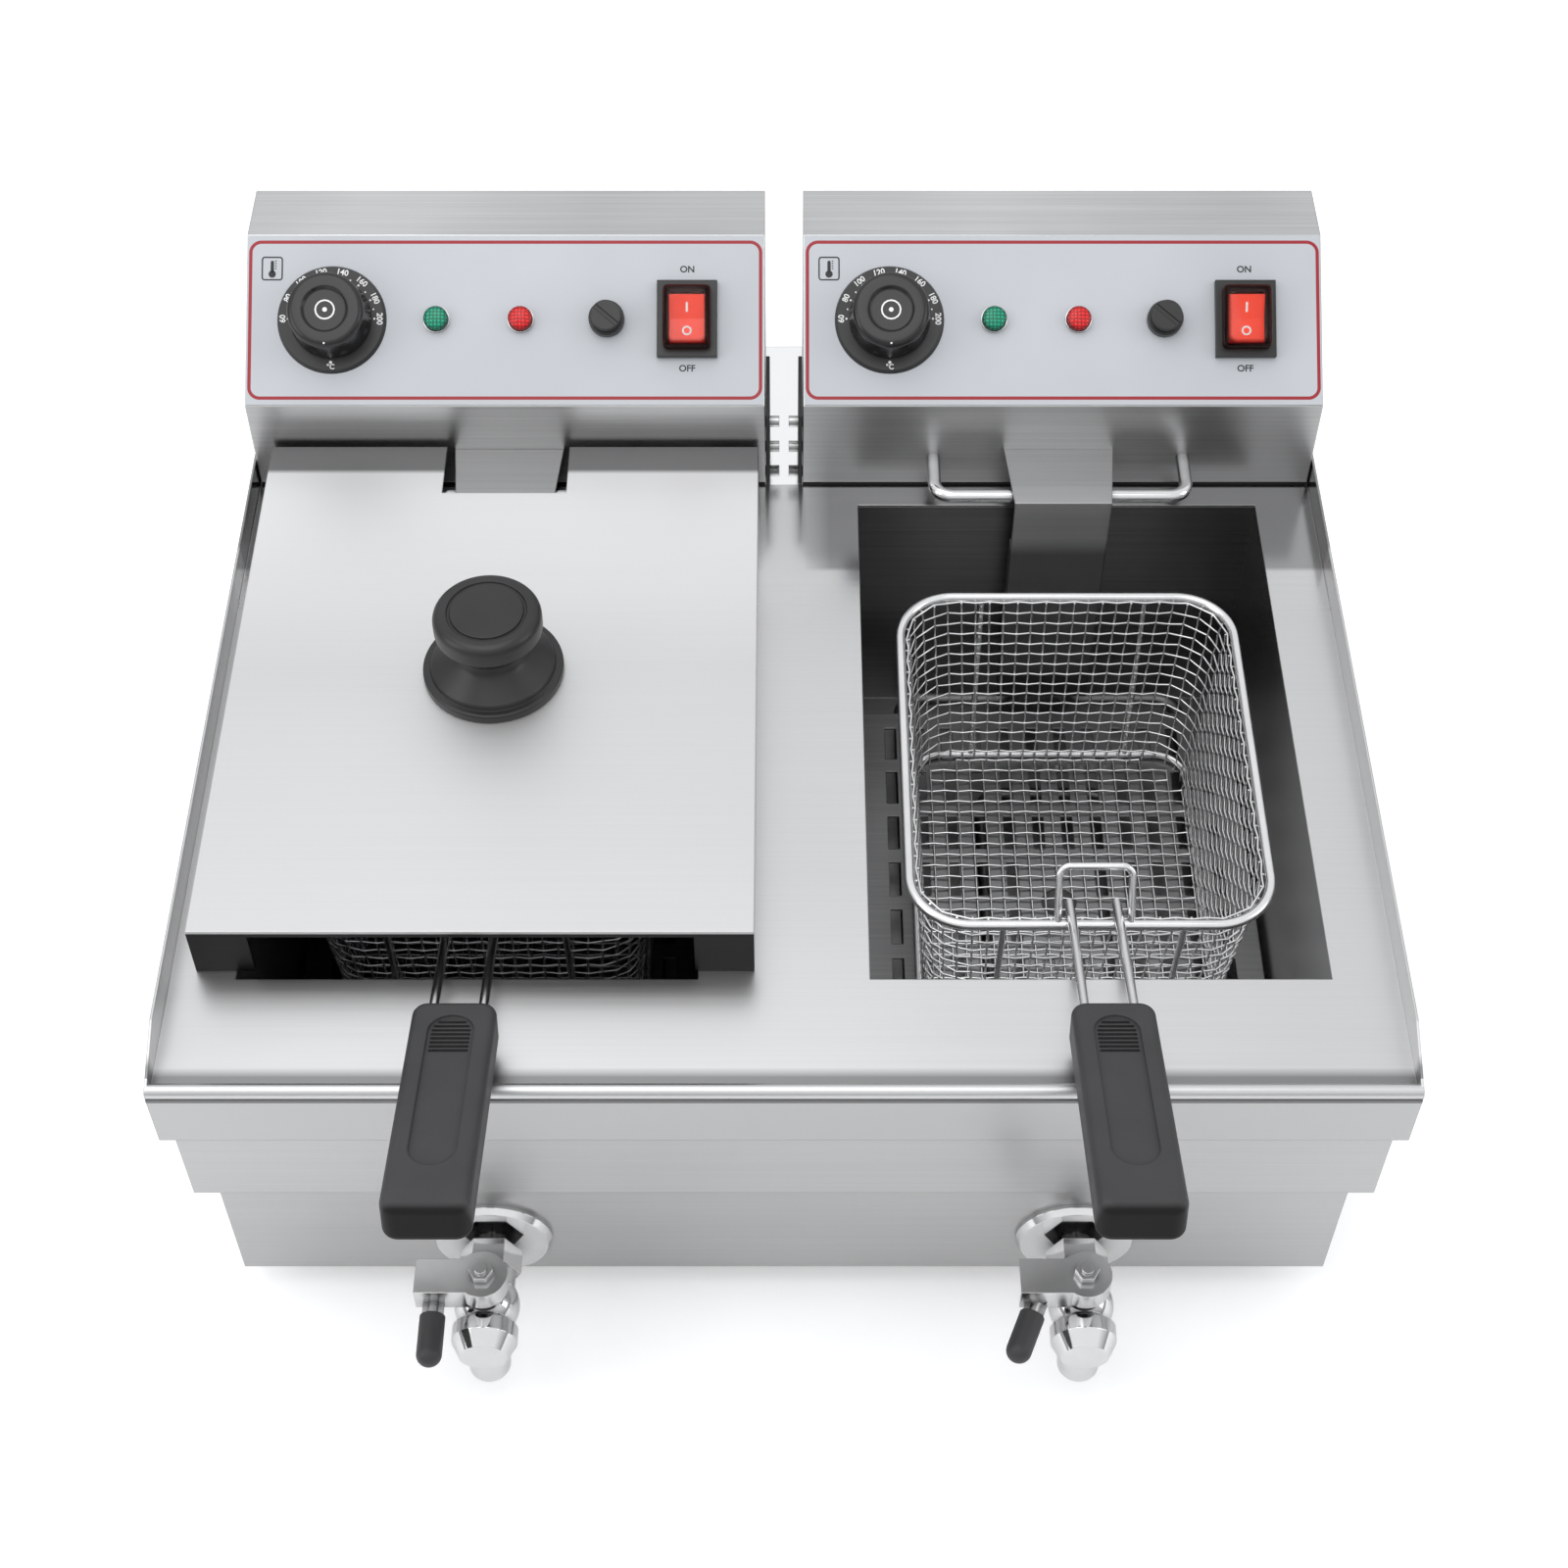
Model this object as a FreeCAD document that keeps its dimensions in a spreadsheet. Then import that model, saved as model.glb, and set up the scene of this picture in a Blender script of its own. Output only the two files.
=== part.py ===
"""Twin-tank counter-top deep fryer with two control heads, lift-out baskets, a lid and drain taps.

Millimetres, +Z up, +Y to the back. The origin is under the middle of the whole object, at the floor.
"""
import FreeCAD, Part
import math
import os
import re
import Sketcher
from FreeCAD import Placement, Rotation, Vector

# Driving dimensions, in millimetres and degrees
SIZES = {
    # Body
    "deck_w": 560.0, "deck_d": 494.0, "front_y": -206.77, "sheet": 1.2, "bay_x": 144.0,
    "foot_h": 22.0, "foot_r": 17.0, "foot_taper": 3.0, "foot_inset": 45.0, "lower_h": 86.6,
    "skirt_h": 33.3, "lower_inset": 13.5, "mid_inset": 5.0, "mid_ledge": 16.0, "bead_r": 3.5,
    "bead_rise": 5.5, "upstand_h": 16.0, "upstand_cut": 28.0,
    # Tanks
    "tank_w": 210.0, "tank_l": 304.0, "tank_depth": 155.0, "tank_setback": 64.5, "tank_wall": 1.0,
    "tank_lip": 8.0, "tank_under": 17.8,
    # Drain taps
    "drain_x": 141.0, "drain_rise": 12.4, "pipe_r": 8.0, "pipe_bore_r": 5.5, "trim_r": 29.0,
    "trim_h": 5.0, "trim_edge": 2.0, "slip": 0.05, "socket_depth": 8.0, "collar_r": 15.0,
    "collar_back": 4.0, "collar_l": 12.0, "barrel_r": 12.5, "stem_y": 25.0, "globe_r": 15.5,
    "ball_r": 9.0, "stem_r": 4.0, "thread_r": 3.0, "neck_r": 9.0, "neck_h": 20.0, "nose_r": 15.6,
    "nose_y": 37.0, "nose_l": 7.0, "nose_taper": 8.0, "nose_tip_r": 11.4, "spout_y": 40.0,
    "spout_r": 10.0, "spout_bore_r": 7.0, "spout_drop": 29.0, "lever_gap": 0.4, "hub_r": 12.0,
    "hub_h": 11.0, "lever_l": 31.0, "lever_w": 16.0, "lever_sheet": 1.8, "lever_flange": 14.0,
    "nut_r": 5.8, "nut_h": 4.6, "tail_x": 22.5, "tail_w": 10.0, "tail_l": 6.0, "left_tail_yaw": 0.0,
    "right_tail_yaw": 22.0, "tang_r": 2.5, "tang_l": 15.0, "sleeve_r": 6.0, "sleeve_l": 25.0,
    # Control heads
    "head_w": 268.0, "head_setback": 384.0, "head_gap": 2.0, "seal_w": 6.0, "face_h": 56.0,
    "panel_l": 90.0, "panel_tilt": 35.0, "fascia_t": 0.8, "fascia_margin": 0.6, "vent_w": 5.0,
    "vent_h": 26.0, "vent_pitch": 14.0, "vent_drop": 22.0, "row_v": 45.0, "dial_u": 89.5,
    "power_u": 35.5, "heat_u": 8.0, "reset_u": 52.5, "switch_u": 94.0, "dial_r": 28.3,
    "dial_t": 2.5, "dial_bevel": 1.2, "hole_gap": 0.2, "bush_r": 5.0, "shaft_r": 3.0,
    "knob_r": 21.0, "knob_h": 20.0, "knob_taper": 2.5, "knob_dish_r": 11.5, "knob_dish": 1.2,
    "knob_groove": 1.4, "flute_r": 9.0, "flute_depth": 1.6, "stat_w": 36.0, "stat_h": 24.0,
    "shaft_in": 8.0, "shaft_out": 16.0, "lamp_r": 5.8, "lamp_rim_r": 6.9, "lamp_rim_h": 2.0,
    "lamp_dome": 1.6, "lamp_back": 16.0, "reset_r": 9.2, "reset_h": 11.0, "reset_wall": 1.5,
    "reset_top_r": 7.8, "reset_skirt": 5.0, "reset_turn": 40.0, "reset_bush_r": 6.0,
    "limit_out": 5.0, "limit_r": 9.0, "limit_l": 24.0, "button_r": 3.0, "button_out": 3.0,
    "button_in": 8.0, "button_travel": 2.0, "reset_slot": 2.2, "bezel_w": 31.0, "bezel_l": 40.0,
    "bezel_h": 4.0, "switch_w": 22.0, "switch_l": 30.0, "switch_deep": 22.0, "rocker_w": 18.4,
    "rocker_l": 25.0, "rocker_well": 6.0, "rocker_rise": 6.4, "rocker_dish": 2.0,
    "rocker_keel": 2.2, "rocker_swing": 1.3, "rocker_tilt": 8.0, "boot_w": 25.0, "boot_l": 33.0,
    "boot_h": 8.5, "boot_wall": 0.9, "gland_r": 11.0, "gland_l": 12.0, "gland_bore_r": 5.0,
    "gland_rise": 24.0, "gland_taper": 3.0, "ear_t": 2.0, "ear_l": 46.0, "ear_h": 56.0,
    "ear_gap": 0.5, "ear_chamfer": 8.0, "bolt_r": 3.0, "bolt_out": 5.0, "bolt_in": 4.0,
    "bolt_low": 9.0, "bolt_high": 27.0, "ear_setback": 20.0,
    # Element, riser and basket rest
    "riser_w": 50.0, "riser_top_w": 57.0, "riser_t": 1.5, "riser_setback": 343.5,
    "riser_rise": 26.0, "riser_drop": 30.0, "riser_flange": 9.0, "element_r": 4.0,
    "element_bend": 12.0, "element_rise": 11.0, "element_floor": 13.0, "element_in": 14.0,
    "leg_x": 12.0, "leg_setback": 356.0, "run_outer": 78.0, "run_inner": 36.0, "run_front": 92.0,
    "cross_back": 286.0, "bulb_r": 3.4, "bulb_l": 92.0, "bulb_x": 20.0, "bulb_rise": 38.0,
    "capillary_r": 1.1, "capillary_bend": 8.0, "rest_r": 3.5, "rest_w": 131.0, "rest_reach": 29.0,
    "rest_rise": 20.0, "rest_bend": 9.0,
    # Strainer plates
    "strainer_w": 204.0, "strainer_l": 261.0, "strainer_gap": 2.5, "strainer_t": 1.2,
    "strainer_h": 33.0, "play": 0.3, "slot_w": 6.0, "slot_l": 22.0, "slot_pitch_x": 15.5,
    "slot_pitch_y": 31.0, "finger_r": 9.0,
    # Baskets
    "rim_w": 170.0, "rim_l": 208.0, "rim_r": 2.5, "rim_corner": 28.0, "rim_drop": 5.0,
    "rim_setback": 98.5, "basket_inset": 10.0, "mesh_t": 1.4, "ring_r": 2.0, "upright_r": 1.5,
    "upright_x": 42.0, "bail_w": 34.0, "bail_h": 24.0, "bail_r": 1.8, "bail_lean": 16.0,
    "bail_bend": 5.0,
    # Basket handles
    "handle_tilt": 15.0, "grip_w": 37.0, "grip_l": 127.0, "grip_t": 20.0, "grip_corner": 7.0,
    "grip_round": 4.0, "handle_r": 2.25, "handle_gap": 22.0, "handle_l": 115.0, "handle_in": 34.0,
    "recess_w": 20.0, "recess_l": 72.0, "recess_t": 1.5, "recess_in": 10.0, "grip_setback": 32.0,
    "grip_rise": 18.0,
    # Lid
    "lid_w": 254.0, "lid_l": 312.0, "lid_back": 3.0, "lid_shift": 3.6, "lid_h": 30.0, "lid_t": 1.0,
    "lid_gap": 0.3, "lid_tab": 27.0, "lid_lip": 4.0, "notch_w": 64.0, "notch_l": 34.0,
    "lid_knob_r": 34.0, "lid_knob_h": 43.0, "lid_grip_r": 26.0, "lid_grip_h": 12.0,
    "lid_skirt_h": 5.0, "lid_skirt_in": 3.0, "lid_waist_r": 16.0, "lid_waist_z": 17.0,
}

doc = FreeCAD.newDocument("deep_fryer")
sheet = doc.addObject("Spreadsheet::Sheet", "sizes")
for row, (alias, number) in enumerate(SIZES.items(), 1):
    sheet.set(f"A{row}", alias)
    sheet.set(f"B{row}", str(number))
    sheet.setAlias(f"B{row}", alias)
doc.recompute()

# Levels and lines that many pieces share, as expressions on the sheet
FLOOR_PAN = "foot_h"
MID_Z = "foot_h + lower_h"
TANK_FLOOR = "foot_h + sheet + tank_under + tank_wall"
DECK_Z = f"{TANK_FLOOR} + tank_depth"
SKIRT_Z = f"{DECK_Z} - skirt_h"
UNDER_DECK = f"{DECK_Z} - sheet"
BACK_Y = "front_y + deck_d"
TANK_FRONT = "front_y + tank_setback"
DRAIN_Z = f"{TANK_FLOOR} + drain_rise"
FACE_Y = "front_y + head_setback"
HEAD_Z = f"{DECK_Z} + head_gap"
PANEL_Z = f"{DECK_Z} + face_h"
HEAD_TOP = f"{PANEL_Z} + panel_l * sin(panel_tilt)"
PANEL_BACK = f"{FACE_Y} + panel_l * cos(panel_tilt)"
FASCIA = "fascia_t"
STRAINER_TOP = f"{TANK_FLOOR} + play + strainer_h"
RIM_Z = f"{DECK_Z} - rim_drop"
RIM_FRONT = "front_y + rim_setback"
RING_Z = f"{STRAINER_TOP} + play + ring_r"
LID_Z = f"{DECK_Z} + lid_gap"
SIDES = (("left", -1), ("right", 1))


def bound(text):
    """Spell every size in an expression as a cell of the sheet."""
    return re.sub(r"[a-z][a-z_]*", lambda word: f"sizes.{word[0]}" if word[0] in SIZES else word[0], text)


def value(text):
    """The present number of an expression on the sheet."""
    return float(doc.getObject("probe").evalExpression(bound(text)))


doc.addObject("App::FeaturePython", "probe")


def place(piece, x="0", y="0", z="0", axis=None, angle=None):
    """Bind a piece's place, and its turn about one axis, to the sheet."""
    if axis:
        piece.Placement = Placement(Vector(), Rotation(Vector(*axis), 1))
        piece.setExpression("Placement.Rotation.Angle", bound(angle))
    for letter, text in zip("xyz", (x, y, z)):
        piece.setExpression(f"Placement.Base.{letter}", bound(text))
    return piece


def block(label, x, y, z):
    """A box between two planes on each axis."""
    piece = doc.addObject("Part::Box", label)
    for side, (low, high) in zip(("Length", "Width", "Height"), (x, y, z)):
        piece.setExpression(side, bound(f"({high}) - ({low})"))
    return place(piece, x[0], y[0], z[0])


TURNS = {"z": None, "y": ((1, 0, 0), "90"), "x": ((0, 1, 0), "90")}


def bar(label, radius, length, x="0", y="0", z="0", along="z"):
    """A round bar from a point: along z it goes up, along y to the front, along x to the right."""
    piece = doc.addObject("Part::Cylinder", label)
    piece.setExpression("Radius", bound(radius))
    piece.setExpression("Height", bound(length))
    axis, angle = TURNS[along] or (None, None)
    return place(piece, x, y, z, axis, angle)


def cone(label, low_radius, high_radius, length, x="0", y="0", z="0", along="z"):
    """A tapered round bar, placed as bar places one."""
    piece = doc.addObject("Part::Cone", label)
    piece.setExpression("Radius1", bound(low_radius))
    piece.setExpression("Radius2", bound(high_radius))
    piece.setExpression("Height", bound(length))
    axis, angle = TURNS[along] or (None, None)
    return place(piece, x, y, z, axis, angle)


def ball(label, radius, x="0", y="0", z="0"):
    """A sphere."""
    piece = doc.addObject("Part::Sphere", label)
    piece.setExpression("Radius", bound(radius))
    return place(piece, x, y, z)


def hexagon(label, radius, length, x="0", y="0", z="0", along="z"):
    """A six-sided bar with its corners at a radius."""
    piece = doc.addObject("Part::Prism", label)
    piece.Polygon = 6
    piece.setExpression("Circumradius", bound(radius))
    piece.setExpression("Height", bound(length))
    axis, angle = TURNS[along] or (None, None)
    return place(piece, x, y, z, axis, angle)


def together(label, pieces):
    """Several solids kept apart in one group."""
    group = doc.addObject("Part::Compound", label)
    group.Links = pieces
    return group


def fuse(label, *pieces):
    """One solid from pieces that meet."""
    whole = doc.addObject("Part::MultiFuse", label)
    whole.Shapes = list(pieces)
    return whole


def cut(label, base, *tools):
    """A piece with tools taken out of it."""
    whole = doc.addObject("Part::Cut", label)
    whole.Base = base
    whole.Tool = tools[0] if len(tools) == 1 else together(f"{label}_tools", list(tools))
    return whole


def outline(body, role, corners):
    """A closed outline on one of a body's own planes, with every corner bound to the sheet."""
    sketch = body.newObject("Sketcher::SketchObject", f"{body.Name}_outline")
    plane = [item for item in body.Origin.OriginFeatures if item.Role == role][0]
    sketch.AttachmentSupport = (plane, [""])
    sketch.MapMode = "FlatFace"
    points = [Vector(value(across), value(up), 0) for across, up in corners]
    for here, there in zip(points, points[1:] + points[:1]):
        sketch.addGeometry(Part.LineSegment(here, there))
    for line in range(len(points)):
        sketch.addConstraint(Sketcher.Constraint("Coincident", line, 2, (line + 1) % len(points), 1))
    for line, corner in enumerate(corners):
        for kind, text in zip(("DistanceX", "DistanceY"), corner):
            made = sketch.addConstraint(Sketcher.Constraint(kind, -1, 1, line, 1, value(text)))
            sketch.setExpression(f"Constraints[{made}]", bound(text))
    return sketch


def prism(label, role, corners, length):
    """An outline pushed out square to its plane: YZ goes to the right, XZ to the front, XY up."""
    body = doc.addObject("PartDesign::Body", label)
    pad = body.newObject("PartDesign::Pad", f"{label}_pad")
    pad.Profile = outline(body, role, corners)
    pad.setExpression("Length", bound(length))
    return body


def turned(label, corners):
    """A half outline of (radius, height) corners turned round the Z axis."""
    body = doc.addObject("PartDesign::Body", label)
    sketch = outline(body, "XZ_Plane", corners)
    spin = body.newObject("PartDesign::Revolution", f"{label}_spin")
    spin.Profile = sketch
    spin.ReferenceAxis = (sketch, ["V_Axis"])
    spin.Angle = 360
    return body


def bent_path(points, bend, closed=False):
    """Straight runs through points, joined by tangent arcs of one radius."""
    if closed:
        middle = (points[0] + points[-1]) * 0.5
        points = [middle] + points + [middle]
    edges = []
    start = points[0]
    for before, corner, after in zip(points, points[1:], points[2:]):
        back = (before - corner).normalize()
        ahead = (after - corner).normalize()
        half = back.getAngle(ahead) / 2
        centre = corner + (back + ahead).normalize() * (bend / math.sin(half))
        enter = corner + back * (bend / math.tan(half))
        leave = corner + ahead * (bend / math.tan(half))
        edges.append(Part.LineSegment(start, enter).toShape())
        edges.append(Part.Arc(enter, centre + (corner - centre).normalize() * bend, leave).toShape())
        start = leave
    edges.append(Part.LineSegment(start, points[-1]).toShape())
    return Part.Wire(edges)


def tube(label, points, radius, bend, closed=False):
    """A round wire along a bent path, with every number read from the sheet."""
    spots = [Vector(*[value(text) for text in point]) for point in points]
    path = bent_path(spots, value(bend), closed)
    first = path.Edges[0]
    ring = Part.makeCircle(value(radius), first.valueAt(first.FirstParameter), first.tangentAt(0))
    piece = doc.addObject("Part::Feature", label)
    piece.Shape = path.makePipeShell([Part.Wire(ring)], True, False)
    return piece


def straight_wire(label, radius, start, end):
    """A round wire between two points."""
    low = Vector(*[value(text) for text in start])
    high = Vector(*[value(text) for text in end])
    piece = doc.addObject("Part::Feature", label)
    piece.Shape = Part.makeCylinder(value(radius), (high - low).Length, low, high - low)
    return piece


def rounded_loop(width, length, middle_y, z, corner):
    """A closed wire in the shape of a rectangle with round corners."""
    half_w, half_l = width / 2, length / 2
    spots = [Vector(across * half_w, middle_y + along * half_l, z)
             for across, along in ((-1, -1), (1, -1), (1, 1), (-1, 1))]
    return bent_path(spots, corner, closed=True)


nodes = []


def node(piece):
    """Keep a finished sub-part for writing out."""
    nodes.append(piece)
    return piece


# Casing
def make_casing():
    """Feet, the two casings that stand on each other, and the deck that closes them."""
    foot_x = "(deck_w / 2 - lower_inset - foot_inset)"
    feet = []
    for across in (-1, 1):
        for end, y in (("front", "front_y + lower_inset + foot_inset"),
                       ("back", f"{BACK_Y} - lower_inset - foot_inset")):
            feet.append(cone(f"foot_{end}_{across}", "foot_r - foot_taper", "foot_r", "foot_h",
                             f"{across} * {foot_x}", y))
    node(together("feet", feet))

    half = "(deck_w / 2 - lower_inset)"
    front, back = "front_y + lower_inset", f"{BACK_Y} - lower_inset"
    shell = block("lower_shell", (f"-{half}", half), (front, back), (FLOOR_PAN, MID_Z))
    inside = block("lower_inside", (f"-{half} + sheet", f"{half} - sheet"),
                   (f"{front} + sheet", f"{back} - sheet"), (f"{FLOOR_PAN} + sheet", f"{MID_Z} + sheet"))
    holes = [bar(f"{name}_base_hole", "pipe_r + slip", "4 * sheet", f"{side} * drain_x",
                 f"{front} + 2 * sheet", DRAIN_Z, "y") for name, side in SIDES]
    node(cut("lower_base", shell, inside, *holes))

    half = "(deck_w / 2 - mid_inset)"
    front, back = "front_y + mid_inset", f"{BACK_Y} - mid_inset"
    shell = block("mid_shell", (f"-{half}", half), (front, back), (MID_Z, UNDER_DECK))
    inside = block("mid_inside", (f"-{half} + sheet", f"{half} - sheet"),
                   (f"{front} + sheet", f"{back} - sheet"), (f"{MID_Z} + sheet", DECK_Z))
    window = block("mid_window", (f"-{half} + mid_ledge", f"{half} - mid_ledge"),
                   (f"{front} + mid_ledge", f"{back} - mid_ledge"), (f"{MID_Z} - sheet", DECK_Z))
    node(cut("mid_casing", shell, inside, window))

    half = "(deck_w / 2)"
    pan = block("deck_pan", (f"-{half}", half), ("front_y", BACK_Y), (SKIRT_Z, DECK_Z))
    under = block("deck_under", (f"-{half} + sheet", f"{half} - sheet"),
                  ("front_y + sheet", f"{BACK_Y} - sheet"), (f"{SKIRT_Z} - sheet", UNDER_DECK))
    mouths = [block(f"{name}_mouth", (f"{side} * bay_x - tank_w / 2", f"{side} * bay_x + tank_w / 2"),
                    (TANK_FRONT, f"{TANK_FRONT} + tank_l"), (SKIRT_Z, f"{DECK_Z} + sheet"))
              for name, side in SIDES]
    bead = bar("deck_bead", "bead_r", "deck_w", f"-{half}", "front_y + bead_r",
               f"{DECK_Z} + bead_rise - bead_r", "x")
    edge = [("front_y + bead_r", UNDER_DECK), (BACK_Y, UNDER_DECK), (BACK_Y, f"{DECK_Z} + upstand_h"),
            ("front_y + bead_r + upstand_cut", f"{DECK_Z} + upstand_h"),
            ("front_y + bead_r", f"{DECK_Z} + bead_rise")]
    left_edge = place(prism("deck_left_edge", "YZ_Plane", edge, "sheet"), f"-{half}")
    right_edge = place(prism("deck_right_edge", "YZ_Plane", edge, "sheet"), f"{half} - sheet")
    node(fuse("deck", cut("deck_sheet", pan, under, *mouths), bead, left_edge, right_edge))


def make_tank(name, side):
    """A pressed oil tank hung by its lip under the deck, with a drain hole low in its front wall."""
    middle = f"{side} * bay_x"
    back = f"{TANK_FRONT} + tank_l"
    tub = block(f"{name}_tub",
                (f"{middle} - tank_w / 2 - tank_wall", f"{middle} + tank_w / 2 + tank_wall"),
                (f"{TANK_FRONT} - tank_wall", f"{back} + tank_wall"),
                (f"{TANK_FLOOR} - tank_wall", UNDER_DECK))
    lip = block(f"{name}_lip", (f"{middle} - tank_w / 2 - tank_lip", f"{middle} + tank_w / 2 + tank_lip"),
                (f"{TANK_FRONT} - tank_lip", f"{back} + tank_lip"),
                (f"{UNDER_DECK} - tank_wall", UNDER_DECK))
    inside = block(f"{name}_inside", (f"{middle} - tank_w / 2", f"{middle} + tank_w / 2"),
                   (TANK_FRONT, back), (TANK_FLOOR, DECK_Z))
    hole = bar(f"{name}_drain_hole", "pipe_r + slip", "3 * tank_wall", f"{side} * drain_x",
               f"{TANK_FRONT} + tank_wall", DRAIN_Z, "y")
    node(cut(f"{name}_tank", fuse(f"{name}_tank_sheet", tub, lip), inside, hole))


# Drain taps
def make_drain(name, side):
    """The pipe from the tank, the trim disc on the casing, and the ball valve with its lever."""
    x = f"{side} * drain_x"
    pipe = bar(f"{name}_pipe", "pipe_r", "tank_setback - collar_back + socket_depth", x, TANK_FRONT,
               DRAIN_Z, "y")
    bore = bar(f"{name}_pipe_bore", "pipe_bore_r", "tank_setback + 2 * socket_depth", x,
               f"{TANK_FRONT} + socket_depth", DRAIN_Z, "y")
    node(cut(f"{name}_drain_pipe", pipe, bore))

    parts = (hexagon(f"{name}_collar", "collar_r", "collar_l", "0", "collar_back", "0", "y"),
             bar(f"{name}_barrel", "barrel_r", "nose_y + collar_back - collar_l", "0",
                 "collar_back - collar_l", "0", "y"),
             ball(f"{name}_globe", "globe_r", "0", "-stem_y"),
             bar(f"{name}_neck", "neck_r", "neck_h", "0", "-stem_y"),
             bar(f"{name}_nose", "nose_r", "nose_l", "0", "-nose_y", "0", "y"),
             cone(f"{name}_nose_tip", "nose_r", "nose_tip_r", "nose_taper", "0", "-nose_y - nose_l", "0",
                  "y"),
             bar(f"{name}_spout", "spout_r", "spout_drop", "0", "-spout_y", "-spout_drop"))
    holes = (bar(f"{name}_valve_bore", "pipe_bore_r", "spout_y + collar_back", "0", "collar_back", "0",
                 "y"),
             bar(f"{name}_valve_socket", "pipe_r + slip", "socket_depth", "0", "collar_back", "0", "y"),
             ball(f"{name}_ball_seat", "ball_r + slip", "0", "-stem_y"),
             bar(f"{name}_stem_bore", "stem_r + slip", "neck_h + sheet", "0", "-stem_y"),
             bar(f"{name}_spout_bore", "spout_bore_r", "spout_drop + sheet", "0", "-spout_y",
                 "-spout_drop - sheet"))
    body = cut(f"{name}_valve_body", fuse(f"{name}_valve_cast", *parts), *holes)
    node(place(body, x, "front_y", DRAIN_Z))

    hub_z = "neck_h + lever_gap"
    top_z = f"{hub_z} + hub_h"
    bored = cut(f"{name}_bored_ball", ball(f"{name}_ball", "ball_r", "0", "-stem_y"),
                bar(f"{name}_ball_bore", "pipe_bore_r", "4 * ball_r", "-2 * ball_r", "-stem_y", "0", "x"))
    stem = fuse(f"{name}_stem_and_ball", bored,
                bar(f"{name}_stem", "stem_r", "neck_h - pipe_bore_r - tang_r", "0", "-stem_y",
                    "pipe_bore_r + tang_r"),
                bar(f"{name}_thread", "thread_r", "lever_gap + hub_h + nut_h + thread_r / 2", "0",
                    "-stem_y", "neck_h"))
    nut = cut(f"{name}_nut", hexagon(f"{name}_nut_blank", "nut_r", "nut_h", "0", "-stem_y", top_z),
              bar(f"{name}_nut_hole", "thread_r + slip", "3 * nut_h", "0", "-stem_y", f"{top_z} - nut_h"))
    node(place(together(f"{name}_tap_stem", [stem, nut]), x, "front_y", DRAIN_Z))

    lever_front = "-stem_y - lever_w / 2"
    root = {"x": "-tail_x", "y": lever_front, "z": f"{top_z} - lever_flange + tang_r", "axis": (0, 0, -1),
            "angle": f"{name}_tail_yaw"}
    tail = fuse(f"{name}_tail",
                block(f"{name}_tail_tab", ("-tail_w / 2", "tail_w / 2"),
                      ("-lever_sheet - tail_l", "-lever_sheet / 2"),
                      ("-lever_sheet / 2", "lever_sheet / 2")),
                bar(f"{name}_tang", "tang_r", "tail_l + tang_l", "0", "-lever_sheet / 2", "0", "y"))
    plate = fuse(f"{name}_lever_plate",
                 bar(f"{name}_hub", "hub_r", "hub_h", "0", "-stem_y", hub_z),
                 block(f"{name}_lever_top", ("-lever_l", "0"), (lever_front, "lever_w / 2 - stem_y"),
                       (f"{top_z} - lever_sheet", top_z)),
                 block(f"{name}_lever_skirt", ("-lever_l", "-nut_r"),
                       (f"{lever_front} - lever_sheet", lever_front),
                       (f"{top_z} - lever_flange", top_z)),
                 place(tail, **root))
    hole = bar(f"{name}_lever_hole", "thread_r + slip", "2 * hub_h", "0", "-stem_y", "neck_h")
    node(place(cut(f"{name}_tap_lever", plate, hole), x, "front_y", DRAIN_Z))

    start = "-lever_sheet - tail_l - play"
    sleeve = cut(f"{name}_sleeve_solid",
                 fuse(f"{name}_sleeve_blank",
                      bar(f"{name}_sleeve_bar", "sleeve_r", "sleeve_l - sleeve_r", "0", start, "0", "y"),
                      ball(f"{name}_sleeve_end", "sleeve_r", "0", f"{start} - sleeve_l + sleeve_r")),
                 bar(f"{name}_sleeve_bore", "tang_r + slip", "tail_l + tang_l + lever_sheet", "0", "0",
                     "0", "y"))
    place(sleeve, **root)
    node(place(together(f"{name}_lever_sleeve", [sleeve]), x, "front_y", DRAIN_Z))


def make_trim_discs():
    """Chromed discs that hide the holes where the drain pipes leave the casing."""
    discs = []
    for name, side in SIDES:
        x, y = f"{side} * drain_x", "front_y + lower_inset"
        disc = fuse(f"{name}_trim_blank",
                    bar(f"{name}_trim_edge", "trim_r", "trim_edge", x, y, DRAIN_Z, "y"),
                    cone(f"{name}_trim_dish", "trim_r", "trim_r - trim_edge", "trim_h - trim_edge", x,
                         f"{y} - trim_edge", DRAIN_Z, "y"))
        hole = bar(f"{name}_trim_hole", "pipe_r + slip", "3 * trim_h", x, f"{y} + trim_h", DRAIN_Z, "y")
        discs.append(cut(f"{name}_trim", disc, hole))
    node(together("drain_trim_discs", discs))


# Control heads
def on_panel(piece, side):
    """Put a piece made flat, with its front up, on the sloping panel of one head."""
    return place(piece, f"{side} * bay_x", FACE_Y, PANEL_Z, (1, 0, 0), "panel_tilt")


def panel_holes(name, what):
    """Cutters for every control that passes through the panel."""
    deep, low = "12 * sheet", "-6 * sheet"
    rounds = (("dial", "-dial_u", "bush_r"), ("power", "-power_u", "lamp_r"),
              ("heat", "heat_u", "lamp_r"),
              ("reset", "reset_u", "reset_bush_r"))
    holes = [bar(f"{name}_{what}_{tag}_hole", f"{radius} + hole_gap", deep, u, "row_v", low)
             for tag, u, radius in rounds]
    holes.append(block(f"{name}_{what}_switch_hole",
                       ("switch_u - switch_w / 2 - hole_gap", "switch_u + switch_w / 2 + hole_gap"),
                       ("row_v - switch_l / 2 - hole_gap", "row_v + switch_l / 2 + hole_gap"),
                       (low, f"{deep} + {low}")))
    return holes


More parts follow.
